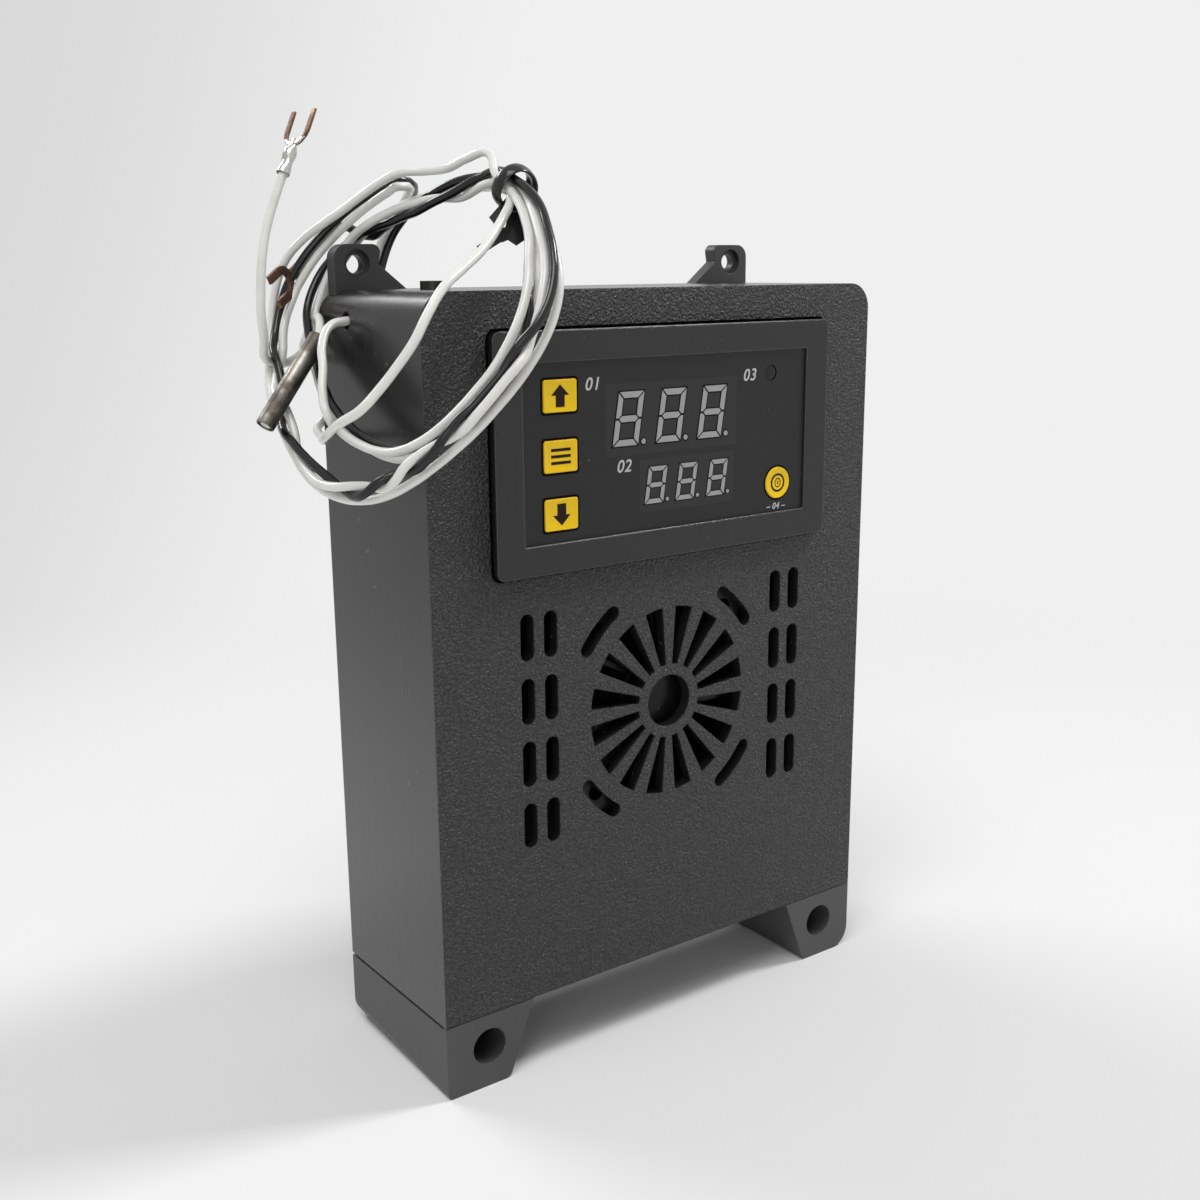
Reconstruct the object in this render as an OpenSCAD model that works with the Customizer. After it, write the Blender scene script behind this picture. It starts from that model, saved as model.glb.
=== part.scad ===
// Wall-mounted fan heater with a plug-in thermostat module, millimetres.
// X runs to the right, Y to the back, Z up. The origin is under the middle, level with the soles.

/* [Case] */
// Width of the case
case_w = 104.4; // [102:0.2:120]
// Depth of the case, front face to back face
case_d = 38; // [37:0.5:50]
// Room between the module and the top face
top_room = 8.65; // [8.4:0.05:20]
// Height of the seam between the shell and the foot cover
seam_z = 14.8; // [14:0.1:16]
// Thickness of the side and top walls
wall = 2.2; // [1.8:0.1:2.6]
// Thickness of the front wall
front_wall = 2.5; // [2:0.1:3]
// Radius of the two upper corners
corner_r = 5; // [4:0.5:7]
// Gap around parts that are let into the case
let_in_gap = 0.15; // [0.1:0.05:0.3]

/* [Feet] */
// Width of a foot at the seam
foot_top_w = 19.1; // [18:0.1:22]
// Width of a foot at its sole
foot_sole_w = 13.6; // [13:0.1:16]
// Radius of the outer lower corner of a foot
foot_outer_r = 4.5; // [2:0.5:5]
// Radius of the left foot's outer lower corner at the front face
foot_left_front_r = 1.2; // [1:0.1:4]
// Radius of the inner lower corner of a foot
foot_inner_r = 1.5; // [0.5:0.1:2.5]
// Distance between the two foot holes
foot_hole_pitch = 86.2; // [84:0.2:88]
// Height of the foot holes above the soles
foot_hole_z = 8.2; // [7.4:0.1:9]
// Radius of the screw hole through a foot
foot_hole_r = 2.1; // [1.6:0.1:2.6]
// Radius of the counterbore in a foot
foot_bore_r = 3.55; // [3:0.05:4]
// Length of the narrow hole left behind the counterbore
foot_hole_l = 4; // [3:0.5:10]
// Thickness of the bottom cover's plate
cover_t = 2.5; // [2:0.1:3.5]
// Depth and height of the shadow groove at the side seams
groove = 0.5; // [0.3:0.1:0.8]

/* [Back plate] */
// Thickness of the back plate and its ears
plate_t = 3; // [2.4:0.1:4]
// Height of an ear above the top face
ear_h = 8.1; // [7.5:0.1:12]
// Distance from the middle to an ear's outer edge
ear_outer_x = 50; // [48.5:0.1:52]
// Width of an ear at its shoulder
ear_w = 9.4; // [9:0.1:12]
// Width of an ear at the top face
ear_foot_w = 14.6; // [13:0.1:18]
// Distance between the two ear holes
ear_hole_pitch = 90.8; // [90:0.2:92]
// Distance from an ear's top down to its hole
ear_hole_drop = 3.6; // [3.4:0.1:4.2]
// Radius of the screw hole in an ear
ear_hole_r = 1.7; // [1.5:0.1:2.2]
// Radius of the shallow counterbore in an ear
ear_bore_r = 2.6; // [2.4:0.1:3]
// Depth of that counterbore
ear_bore_d = 1; // [0.6:0.1:1.4]

/* [Air openings] */
// Height of the fan's axis above the soles
fan_z = 67.9; // [67:0.1:70]
// Number of radial slots
slot_count = 16; // [8:1:18]
// Radius of the outer ends of the radial slots
slot_outer_r = 18.9; // [17:0.1:19.2]
// Radius of the inner ends of the radial slots
slot_inner_r = 7.4; // [7:0.1:9]
// Width of a rib between two slots at its outer end
rib_w = 3.2; // [2:0.1:3.6]
// Radius of the round hole in the hub
hub_hole_r = 5.2; // [3:0.1:5.6]
// Mean radius of the four arc slots
arc_r = 23.8; // [22.5:0.1:24.5]
// Width of an arc slot
arc_w = 2.8; // [1.6:0.1:3]
// Angle that an arc slot spans
arc_span = 21; // [15:1:28]
// Distance from the middle to the inner column of side slots
side_slot_x = 27.7; // [27.4:0.1:30]
// Distance between the two columns of side slots
side_slot_step = 5.1; // [4.4:0.1:6]
// Width of a side slot
side_slot_w = 2.9; // [2:0.1:3.2]
// Length of a side slot
side_slot_l = 8.7; // [7:0.1:9.5]
// Distance from one side slot to the next below
side_slot_pitch = 12; // [11:0.1:13]

/* [Thermostat module] */
// Width of the bezel
bezel_w = 79; // [78:0.2:82]
// Height of the bezel
bezel_h = 43; // [42:0.2:46]
// Height of the bezel's middle above the soles
bezel_z = 118.7; // [118:0.1:120]
// How far the bezel stands out of the front face
bezel_proud = 1.5; // [1.2:0.1:2.5]
// Radius of the bezel's corners
bezel_r = 1.5; // [0.5:0.1:3]
// Width of the module behind the bezel
module_w = 75.5; // [75:0.1:76]
// Height of the module behind the bezel
module_h = 39.3; // [39:0.1:40]
// Depth of the module behind the front face
module_d = 26; // [25:0.5:27.5]
// Width of the window
window_w = 67.4; // [66:0.1:70]
// Height of the window
window_h = 32; // [31:0.1:34]
// How far the window lies below the bezel's face
window_inset = 0.5; // [0.3:0.1:0.7]

/* [Keys] */
// Width of an oblong key
key_w = 7.1; // [6:0.1:8]
// Height of an oblong key
key_h = 5.7; // [5:0.1:6.4]
// Diameter of the round key
round_key_d = 6.6; // [5:0.1:7.4]
// Gap around a key
key_gap = 0.3; // [0.3:0.05:0.5]
// Travel of a key
key_travel = 0.4; // [0.2:0.05:0.5]

/* [Fan] */
// Side of the square fan frame
fan_size = 40; // [40:0.1:41]
// Thickness of the fan
fan_t = 10; // [10:0.5:11]
// Thickness of the fan frame beside its bore
fan_rim = 0.9; // [0.8:0.1:2]
// Number of blades
blade_count = 7; // [5:1:9]
// Share of the fan's side that the rotor's hub takes up
hub_share = 0.46; // [0.42:0.01:0.5]
// Radius of the shaft
shaft_r = 1; // [0.8:0.1:1.2]

/* [Leads] */
// Diameter of a lead
lead_d = 1.6; // [1.2:0.1:1.8]
// Mean radius of the tied coil
coil_r = 29; // [28:0.5:30]
// Radius of the bundle in the coil
bundle_r = 3; // [2.5:0.1:3.4]
// Diameter of the sensor's steel tube
probe_d = 3.4; // [3:0.1:4]
// Length of the sensor's steel tube
probe_l = 20; // [16:0.5:20]

/* [Hidden] */
$fn = 48;
eps = 0.01;                                   // overlap of cutting tools past a face
big = 400;                                    // longer than anything on the part

// Places shared by several pieces
case_h = bezel_z + module_h / 2 + top_room;
ear_top_z = case_h + ear_h;
front_y = -(case_d - bezel_proud) / 2;
back_y = front_y + case_d;
inner_front_y = front_y + front_wall;
plate_y = back_y - plate_t;
inner_x = case_w / 2 - wall;
inner_top_z = case_h - wall;
foot_hole_x = foot_hole_pitch / 2;
ear_hole_x = ear_hole_pitch / 2;
ear_hole_z = ear_top_z - ear_hole_drop;

// Posts of the shell that take the back plate's screws: place, radius, pilot radius
post_x = inner_x - 4;
post_z = [seam_z + 8, inner_top_z - 12];
post_r = 3.4;
pilot_r = 1.2;
screw_hole_r = 1.6;
screw_head_r = 2.8;
screw_head_t = 1.6;
screw_l = 10;
head_room = 0.2;

// Bosses of the shell that take the foot cover's screws
boss_half = 4;
boss_x = case_w / 2 - 26.2;
boss_y = inner_front_y + boss_half;
boss_h = 9;
cover_z = seam_z;
cover_top_z = cover_z + cover_t;

// Lead holes and the clamp behind them
lead_z = case_h - 5.3;
side_hole_y = front_y + 27;
side_hole_r = 2 * lead_d - 1.6;
rear_hole = [-case_w / 2 + 13.7, lead_z - 0.7];
rear_hole_r = 2.3;
top_screw_at = [-case_w / 2 + 14.3, front_y + 20];
top_screw_head = [2.6, 1.5];
clamp_w = 11;
clamp_d = 15;
clamp_h = 6;
socket_gap = 0.05;

// The leads are drawn for a case whose upper left front corner is here, and move with that corner
drawn_corner = [-52.2, -18.25, 147];
lead_shift = [-case_w / 2, front_y, case_h] - drawn_corner;

// Module: depths from the front face
window_t = 0.3;
window_y = front_y - bezel_proud + window_inset;
floor_t = 1.2;
floor_y = window_y + window_t;
skirt_d = 4;
board_y = front_y + 5.5;
board_t = 1.6;
module_wall = 1.5;
pillar_r = 2;
pillar_in = 5;
relay_x = 6;
relay_size = [19, 15, 15.5];
clip_size = [3.4, 9, 12];
switch_size = [6, 2.2, 5.2];
switch_pin_r = 1.5;
module_back_y = front_y + module_d;
cutout_gap = 0.15;
key_front_y = window_y - 0.3;
key_flange = 0.6;
key_flange_t = 0.8;
key_rest_gap = 0.3;
key_back_y = floor_y + floor_t + key_rest_gap;
key_pin_y = key_back_y + key_flange_t + key_travel + 0.35;
key_x = -25.7;
key_step = 10.5;
round_key_at = [26.7, bezel_z - 10.2];
up_at = [key_x, bezel_z + key_step - 0.4];
set_at = [key_x, bezel_z - 0.5];
down_at = [key_x, bezel_z - key_step - 0.4];
main_at = [0, bezel_z + 4.9];
main_size = [31.6, 13.4];
set_display_at = [3.6, bezel_z - 7.7];
set_display_size = [23.4, 10.2];
lamp_at = [24.5, bezel_z + 11.6];
lamp_r = 1.5;
display_gap = 0.1;

// Fan and heater: depths
fan_y = inner_front_y;
fan_back_y = fan_y + fan_t;
tip_gap = 0.6;
fan_bore_r = fan_size / 2 - fan_rim;
blade_r = fan_bore_r - tip_gap;
hub_r = fan_size * hub_share / 2;
blade_t = 1;
blade_lean = 38;
strut_w = 2.4;
fan_hole_r = 1.7;
stator_l = 5;
fan_hub_t = 1.2;
rotor_y = fan_y + 1.1;
rotor_back_gap = 0.5;
shaft_cover = 0.6; // of the rotor's cap over the shaft's front end
bush_gap = 0.03;
bush_r = 2.4;
fan_post_r = 2.2;
fan_post_x = fan_size / 2 + fan_post_r + 1;
fan_post_dz = fan_size / 4;
fan_pilot_r = 0.9;
fan_screw_head = [2.1, 1.4];
fan_screw_l = 6;
heater_d = 14.5;
heater_wall = 2;
lug_t = 2;
lug_r = 2.9;
heater_hole_r = 1.3;
core_d = 9;
core_ledge = 1.5;
bar_t = 3.2;
fin_t = 0.5;
fin_pitch = 2;
tab_size = [6.3, 5, 0.8];
cutoff_r = 5;
cutoff_h = 4.5;
cutoff_foot = [3, 13.6, 0.8];

// Coil of the leads: its centre and the way that it leans
coil_at = [-46, -3.25, 143];
coil_turn = [0, 59, 197];
tie_angle = 150;
tie_tails = [[-15, 9], [-38, 5.5]]; // of each: turn from straight inwards, length

// Routes of the free leads, from the case outwards
sensor_start_route = [[-43, 8.75, 141.7], [-47.5, 8.75, 141.7], [-52, 8.75, 141.7], [-55.5, 8, 141],
    [-58.5, 5.5, 138], [-60, 2.5, 134], [-61.5, 0, 130], [-62, -3, 126], [-61.5, -5.5, 122],
    [-61, -6, 119.5]];
sensor_tail_route = [[-30, -13.5, 163.5], [-33, -15.5, 160.5], [-37, -18, 157], [-41.5, -20.5, 153.5],
    [-46.5, -22.5, 150.5], [-51.5, -24.5, 147.5], [-55, -25.5, 143.5], [-57.5, -25.5, 139.5],
    [-60, -24, 135.5], [-62.5, -22.5, 132], [-65, -21, 129], [-66.5, -17.5, 127], [-66, -13, 125.5],
    [-65, -8.5, 124], [-63.5, -4, 123], [-61.5, 0.5, 122], [-59.5, 5, 121.5], [-57.5, 9.5, 121],
    [-55.5, 14, 121], [-54.3, 17.8, 121], [-53, 21, 121.8], [-50.3, 22.3, 124], [-49, 22.5, 127.5],
    [-48.5, 22.5, 131.5], [-49, 22.5, 135.5], [-50.2, 22.3, 138.6], [-51.8, 21, 141],
    [-53.2, 18.6, 142.2], [-54, 15.9, 141.9], [-54.9, 13.7, 140.7], [-56, 12, 139]];
white_start_route = [[-39.4, 11, 141], [-39.4, 16, 141], [-39.4, 20.5, 141.3], [-39.2, 23.8, 143.5],
    [-38.5, 25.4, 147.5], [-37, 26, 152], [-35, 25.3, 157], [-33, 22.5, 161.5], [-32.5, 17.5, 165],
    [-34, 12, 166.5]];
black_start_route = [for (p = white_start_route) p + [1.8, 0, 0]];
white_tail_route = [[-59.5, 22.5, 134.3], [-61.8, 21.3, 135], [-63.2, 19.3, 137], [-64.1, 17.6, 140],
    [-64.5, 17, 143.5], [-64.3, 17, 147], [-63.8, 17.3, 151], [-62.8, 17.7, 155.5],
    [-61.4, 17.8, 160], [-60, 17.8, 163.5], [-58.5, 17.8, 167]];
black_tail_route = [[-44, 22.5, 159], [-43.5, 26, 159.3], [-43.8, 28.8, 158.3], [-45.2, 30.4, 156],
    [-47.5, 30.8, 153.5], [-50.3, 29.5, 151.6]];

// Routes of the fixed leads inside, from the clamp to the terminal block and the heater
terminal_z = bezel_z - 13.7;
terminal_h = 8;
terminal_w = 44;
terminal_d = 8;
terminal_top = terminal_z + terminal_h / 2;
wire_y = module_back_y + terminal_d / 2 + 0.25;
inner_starts = [[-34, 8.75, 141.7], [-34, 5, 141.7], [-34, 2, 141.7]];
function inner_route(start, bends, x) = concat([for (p = concat([start], bends)) p + lead_shift],
    [[x - 2, wire_y - 0.2, terminal_top + 21], [x - 0.2, wire_y, terminal_top + 13],
        [x, wire_y, terminal_top + 6], [x, wire_y, terminal_top]]);
inner_routes = [
    inner_route(inner_starts[0], [[-29, 9.5, 141], [-24, 11, 137]], -18),
    inner_route(inner_starts[1], [[-26, 6.5, 141.5], [-16, 9.5, 138]], -9),
    inner_route(inner_starts[2], [[-24, 3.5, 142], [-10, 8.5, 140]], 0)];

// Fork terminals: place of the wire's end and the way that each points
fork_white_at = [-58.5, 17.8, 167];
fork_white_turn = [0, 29.4, 21.7];
fork_white_spin = 84.9;
fork_white_slot_r = 2.3;
fork_white_t = 0.6;
fork_black_at = [-50.3, 29.5, 151.6];
fork_black_turn = [0, 113.1, 218.3];
fork_black_spin = 10;
fork_black_slot_r = 1.6;
fork_black_t = 0.8;
probe_from = [-56, 12, 139];
probe_turn = [0, 139.2, -167];

// ---------------------------------------------------------------- helpers

// A flat shape drawn in X and Z, given a thickness along Y
module slab(y, t) {
    translate([0, y + t, 0]) rotate([90, 0, 0]) linear_extrude(t) children();
}

// A round bar or drill along +Y
module rod(x, y, z, r, l) {
    translate([x, y, z]) rotate([-90, 0, 0]) cylinder(r = r, h = l);
}

// A rectangle with round corners about the origin
module rounded(w, h, r) {
    square([w - 2 * r, h], center = true);
    square([w, h - 2 * r], center = true);
    for (sx = [-1, 1], sz = [-1, 1])
        translate([sx * (w / 2 - r), sz * (h / 2 - r)]) circle(r);
}

// A block from one corner to the other
module block(low, high) {
    translate(low) cube(high - low);
}

function arc_points(c, r, from, to, n = 8) =
    [for (i = [0:n]) c + r * [cos(from + (to - from) * i / n), sin(from + (to - from) * i / n)]];

function unit(v) = v / norm(v);
function heading(p, i) = unit(p[min(i + 1, len(p) - 1)] - p[max(i - 1, 0)]);
function carried(u, t) = unit(u - (u * t) * t);
function side_vectors(p, u, i = 0) =
    i == len(p) ? [] : let (n = carried(u, heading(p, i))) concat([n], side_vectors(p, n, i + 1));

// A round lead swept along a route, one ring of corners at each of its points
module lead(route, d = lead_d, sides = 8) {
    last = len(route) - 1;
    side = side_vectors(route, cross(heading(route, 0), [0.31, 0.23, 0.92]));
    corners = [for (i = [0:last], k = [0:sides - 1])
        let (n = side[i], b = cross(heading(route, i), n), a = 360 * k / sides)
            route[i] + d / 2 * (cos(a) * n + sin(a) * b)];
    walls = [for (i = [0:last - 1], k = [0:sides - 1])
        let (m = (k + 1) % sides)
            [i * sides + k, (i + 1) * sides + k, (i + 1) * sides + m, i * sides + m]];
    ends = [[for (k = [0:sides - 1]) k], [for (k = [sides - 1:-1:0]) last * sides + k]];
    polyhedron(corners, concat(walls, ends));
}

// Outline of the case from the seam up, moved inwards by inset
module case_outline(inset = 0, low = seam_z) {
    r = corner_r - inset;
    half = case_w / 2 - inset;
    top = case_h - inset;
    translate([-half, low]) square([2 * half, top - r - low]);
    translate([-half + r, low]) square([2 * half - 2 * r, top - low]);
    for (s = [-1, 1]) translate([s * (half - r), top - r]) circle(r);
}

// Outline of one foot on the +X side, sole at Z = 0
module foot_outline(outer_r) {
    x = case_w / 2;
    sole_x = x - foot_sole_w;
    lean = atan2(foot_top_w - foot_sole_w, seam_z);
    c = sole_x + foot_inner_r * (1 / cos(lean) - tan(lean));
    polygon(concat([[x - foot_top_w, seam_z - let_in_gap]],
        arc_points([c, foot_inner_r], foot_inner_r, 180 + lean, 270),
        arc_points([x - outer_r, outer_r], outer_r, 270, 360),
        [[x, seam_z - let_in_gap]]));
}

// ---------------------------------------------------------------- case

module slot_pattern() {
    half_outer = 180 / slot_count - asin(rib_w / 2 / slot_outer_r);
    half_inner = 180 / slot_count - asin(rib_w / 2 / slot_outer_r) - 1.1;
    for (i = [0:slot_count - 1]) rotate(360 / slot_count * (i + 0.5))
        polygon(concat(arc_points([0, 0], slot_outer_r, -half_outer, half_outer, 4),
            arc_points([0, 0], slot_inner_r, half_inner, -half_inner, 2)));
}

// Round end of an arc slot, without its first and last points
function arc_slot_end(at) =
    [for (k = [1:5]) arc_r * [cos(at), sin(at)] + arc_w / 2 * [cos(at + 30 * k), sin(at + 30 * k)]];

module arc_slots() {
    for (q = [0:3]) rotate(90 * q + 45 - arc_span / 2)
        polygon(concat(arc_points([0, 0], arc_r + arc_w / 2, 0, arc_span, 10), arc_slot_end(arc_span),
            arc_points([0, 0], arc_r - arc_w / 2, arc_span, 0, 10),
            [for (p = arc_slot_end(0)) 2 * [arc_r, 0] - p]));
}

module side_slots() {
    for (s = [-1, 1], c = [0, 1], i = [-1.5:1:1.5])
        translate([s * (side_slot_x + c * side_slot_step), i * side_slot_pitch]) {
            square([side_slot_w, side_slot_l - side_slot_w], center = true);
            for (e = [-1, 1]) translate([0, e * (side_slot_l - side_slot_w) / 2])
                circle(side_slot_w / 2, $fn = 24);
        }
}

module front_shell() color("#2b2b2c") difference() {
    union() {
        slab(front_y, case_d) difference() {
            case_outline();
            case_outline(wall, seam_z - 1);
        }
        slab(front_y, front_wall) case_outline();
        for (s = [-1, 1], z = post_z) {
            rod(s * post_x, inner_front_y - eps, z, post_r, plate_y - inner_front_y + eps);
            block([s > 0 ? post_x : -inner_x - eps, inner_front_y - eps, z - 1],
                [s > 0 ? inner_x + eps : -post_x, plate_y, z + 1]);
        }
        for (s = [-1, 1], t = [-1, 1])
            rod(s * fan_post_x, inner_front_y - eps, fan_z + t * fan_post_dz, fan_post_r, fan_t + eps);
        for (s = [-1, 1])
            block([s * boss_x - boss_half, inner_front_y - eps, cover_top_z + let_in_gap],
                [s * boss_x + boss_half, boss_y + boss_half, cover_top_z + boss_h]);
    }
    slab(front_y - 1, front_wall + 2) translate([0, fan_z]) {
        slot_pattern();
        arc_slots();
        side_slots();
    }
    rod(0, front_y - 1, fan_z, hub_hole_r, front_wall + 2);
    slab(front_y - 1, front_wall + 2) translate([0, bezel_z])
        square([module_w + 2 * cutout_gap, module_h + 2 * cutout_gap], center = true);
    for (s = [-1, 1]) {
        for (z = post_z) rod(s * post_x, plate_y - screw_l, z, pilot_r, screw_l + 1);
        for (t = [-1, 1])
            rod(s * fan_post_x, fan_back_y - fan_screw_l - 1, fan_z + t * fan_post_dz, fan_pilot_r,
                fan_screw_l + 2);
        translate([s * boss_x, boss_y, cover_top_z]) cylinder(r = pilot_r, h = boss_h - 1);
        block([s > 0 ? ear_outer_x - ear_foot_w - let_in_gap : -ear_outer_x - let_in_gap,
                plate_y - let_in_gap, inner_top_z - 1],
            [s > 0 ? ear_outer_x + let_in_gap : -ear_outer_x + ear_foot_w + let_in_gap,
                back_y + 1, case_h + 1]);
    }
    translate([-case_w / 2 - 1, side_hole_y, lead_z]) rotate([0, 90, 0])
        cylinder(r = side_hole_r, h = wall + 2);
    translate([top_screw_at[0], top_screw_at[1], inner_top_z - 1]) cylinder(r = screw_hole_r, h = wall + 2);
}

// One ear drawn on the +X side
module ear_outline() {
    inner_x_top = ear_outer_x - ear_w;
    base_z = inner_top_z - 2;
    shoulder_z = case_h + (ear_top_z - case_h) * 0.55;
    polygon(concat([[ear_outer_x, base_z]],
        arc_points([ear_outer_x - 2.6, ear_top_z - 2.6], 2.6, 0, 90),
        arc_points([inner_x_top + 1.6, ear_top_z - 1.6], 1.6, 90, 170),
        [[inner_x_top + 0.4, shoulder_z], [ear_outer_x - ear_foot_w, case_h],
            [ear_outer_x - ear_foot_w, base_z]]));
}

module plate_outline() {
    r = corner_r - wall;
    half = inner_x - let_in_gap;
    top = inner_top_z - let_in_gap;
    translate([-half, seam_z]) square([2 * half, top - r - seam_z]);
    translate([-half + r, seam_z]) square([2 * half - 2 * r, top - seam_z]);
    for (s = [-1, 1]) translate([s * (half - r), top - r]) circle(r);
}

module rear_plate() color("#252526") difference() {
    union() {
        slab(plate_y, plate_t) plate_outline();
        for (s = [0, 1]) mirror([s, 0, 0]) slab(plate_y, plate_t) ear_outline();
    }
    for (s = [-1, 1]) {
        rod(s * ear_hole_x, plate_y - 1, ear_hole_z, ear_hole_r, plate_t + 2);
        rod(s * ear_hole_x, plate_y - 1, ear_hole_z, ear_bore_r, 1 + ear_bore_d);
        for (z = post_z) {
            rod(s * post_x, plate_y - 1, z, screw_hole_r, plate_t + 2);
            rod(s * post_x, back_y - screw_head_t, z, screw_head_r + head_room, screw_head_t + 1);
        }
    }
    rod(rear_hole[0], plate_y - 1, rear_hole[1], rear_hole_r, plate_t + 2);
}

module foot_cover() color("#2f2f30") difference() {
    union() {
        slab(front_y, case_d) foot_outline(foot_outer_r);
        hull() {
            mirror([1, 0, 0]) slab(front_y, 0.1) foot_outline(foot_left_front_r);
            mirror([1, 0, 0]) slab(back_y - 0.1, 0.1) foot_outline(foot_outer_r);
        }
        block([-inner_x + let_in_gap, inner_front_y + let_in_gap, cover_z],
            [inner_x - let_in_gap, plate_y - let_in_gap, cover_top_z]);
        for (s = [-1, 1])
            block([s > 0 ? case_w / 2 - foot_top_w + 1 : -inner_x + let_in_gap,
                    inner_front_y + let_in_gap, cover_z - 1],
                [s > 0 ? inner_x - let_in_gap : -case_w / 2 + foot_top_w - 1,
                    plate_y - let_in_gap, cover_z + 1]);
    }
    for (s = [-1, 1]) {
        rod(s * foot_hole_x, front_y - 1, foot_hole_z, foot_hole_r, case_d + 2);
        rod(s * foot_hole_x, front_y - 1, foot_hole_z, foot_bore_r, case_d - foot_hole_l + 1);
        block([s > 0 ? case_w / 2 - groove : -case_w / 2 - 1, front_y + 1.2, seam_z - let_in_gap - groove],
            [s > 0 ? case_w / 2 + 1 : -case_w / 2 + groove, back_y + 1, seam_z]);
        translate([s * boss_x, boss_y, cover_z - 1]) cylinder(r = screw_hole_r, h = cover_t + 2);
    }
    for (i = [-4:4])
        block([i * 4.6 - 1.3, boss_y - 2, cover_z - 1], [i * 4.6 + 1.3, plate_y - 3.5, cover_top_z + 1]);
}

// Screw along +Z: head under the origin plane, thread above it
module screw(head_r, head_t, thread_r, thread_l) {
    difference() {
        translate([0, 0, -head_t]) cylinder(r = head_r, h = head_t);
        for (a = [0, 90]) rotate(a)
            translate([-head_r * 0.55, -0.35, -head_t - 1]) cube([head_r * 1.1, 0.7, 1 + head_t * 0.5]);
    }
    cylinder(r = thread_r, h = thread_l);
}

module plate_screws() color("#b9bcc0")
    for (s = [-1, 1], z = post_z) translate([s * post_x, back_y - screw_head_t, z])
        rotate([90, 0, 0]) screw(screw_head_r, screw_head_t, pilot_r, screw_l);

module foot_cover_screws() color("#b9bcc0")
    for (s = [-1, 1]) translate([s * boss_x, boss_y, cover_z])
        screw(screw_head_r, screw_head_t, pilot_r, cover_t + boss_h * 2 / 3);

module top_screw() color("#1c1b1a")
    translate([top_screw_at[0], top_screw_at[1], case_h]) rotate([180, 0, 0])
        screw(top_screw_head[0], top_screw_head[1], pilot_r, wall + clamp_h - 1);

module lead_clamp() color("#3a3a3c") difference() {
    translate([top_screw_at[0] - clamp_w / 2, top_screw_at[1] - 3, inner_top_z - clamp_h])
        cube([clamp_w, clamp_d, clamp_h]);
    translate([top_screw_at[0], top_screw_at[1], inner_top_z - clamp_h + 0.5])
        cylinder(r = pilot_r, h = clamp_h);
    // sockets for the leads that arrive from the left, the back and the inside
    translate(lead_shift) {
        for (at = concat([sensor_start_route[0] - [clamp_w, 0, 0]], inner_starts))
            translate(at) rotate([0, 90, 0]) cylinder(r = lead_d / 2 + socket_gap, h = clamp_w);
        for (route = [white_start_route, black_start_route])
            rod(route[0][0], route[0][1], route[0][2], lead_d / 2 + socket_gap, clamp_d);
    }
}

// ---------------------------------------------------------------- thermostat module

module at_bezel(y, t) {
    slab(y, t) translate([0, bezel_z]) children();
}

module key_cut(at, w, h, y, t) {
    slab(y, t) translate(at) square([w, h], center = true);
}

// Openings for the keys, displays and lamp in the window and the floor behind it
module face_cuts(y, t) {
    for (at = [up_at, set_at, down_at])
        key_cut(at, key_w + 2 * key_gap, key_h + 2 * key_gap, y, t);
    rod(round_key_at[0], y, round_key_at[1], round_key_d / 2 + key_gap, t);
    for (d = [[main_at, main_size], [set_display_at, set_display_size]])
        slab(y, t) translate(d[0])
            square([d[1][0] + 2 * display_gap, d[1][1] + 2 * display_gap], center = true);
    rod(lamp_at[0], y, lamp_at[1], lamp_r + display_gap, t);
}

module controller_bezel() color("#232324") difference() {
    union() {
        difference() {
            at_bezel(front_y - bezel_proud, bezel_proud) rounded(bezel_w, bezel_h, bezel_r);
            at_bezel(front_y - bezel_proud - 1, bezel_proud + 2)
                square([window_w, window_h], center = true);
        }
        at_bezel(floor_y, floor_t) square([module_w - 1, module_h - 1], center = true);
        at_bezel(front_y - eps, skirt_d + eps) difference() {
            square([module_w, module_h], center = true);
            square([module_w - 2 * module_wall, module_h - 2 * module_wall], center = true);
        }
    }
    face_cuts(floor_y - 1, floor_t + 2);
}

module controller_window() color("#303031") difference() {
    at_bezel(window_y, window_t) square([window_w, window_h], center = true);
    face_cuts(window_y - 1, window_t + 2);
}

module controller_case() color("#1f1f20") union() {
    at_bezel(front_y + skirt_d, module_back_y - front_y - skirt_d) difference() {
        square([module_w, module_h], center = true);
        square([module_w - 2 * module_wall, module_h - 2 * module_wall], center = true);
    }
    at_bezel(module_back_y - module_wall, module_wall) square([module_w, module_h], center = true);
    for (sx = [-1, 1], sz = [-1, 1])
        rod(sx * (module_w / 2 - pillar_in), board_y + board_t, bezel_z + sz * (module_h / 2 - pillar_in),
            pillar_r, module_back_y - board_y - board_t - module_wall + eps);
}

module controller_clips() color("#3c3c3e")
    for (s = [0, 1]) mirror([s, 0, 0]) difference() {
        translate([module_w / 2, inner_front_y, bezel_z - clip_size[2] / 2]) cube(clip_size);
        for (i = [-1, 1])
            translate([module_w / 2 + clip_size[0] / 3, inner_front_y + clip_size[1] / 3,
                bezel_z + (i * 3 - 1) * clip_size[2] / 12]) cube(clip_size / 6 + clip_size);
    }

module controller_board() color("#1f6b3a")
    at_bezel(board_y, board_t)
        square([module_w - 2 * module_wall - 0.4, module_h - 2 * module_wall - 0.4], center = true);

module display(at, size) {
    slab(window_y + 0.05, board_y - window_y - 0.05) translate(at) square(size, center = true);
}

module display_main() color("#3b3b3c") display(main_at, main_size);

module display_set() color("#3b3b3c") display(set_display_at, set_display_size);

module out_lamp() color("#151516") {
    rod(lamp_at[0], window_y + 0.05, lamp_at[1], lamp_r, board_y - window_y - 0.05);
}

module controller_relay() color("#2456a8")
    translate([relay_x, board_y + board_t, bezel_z - relay_size[2] / 2]) cube(relay_size);

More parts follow.
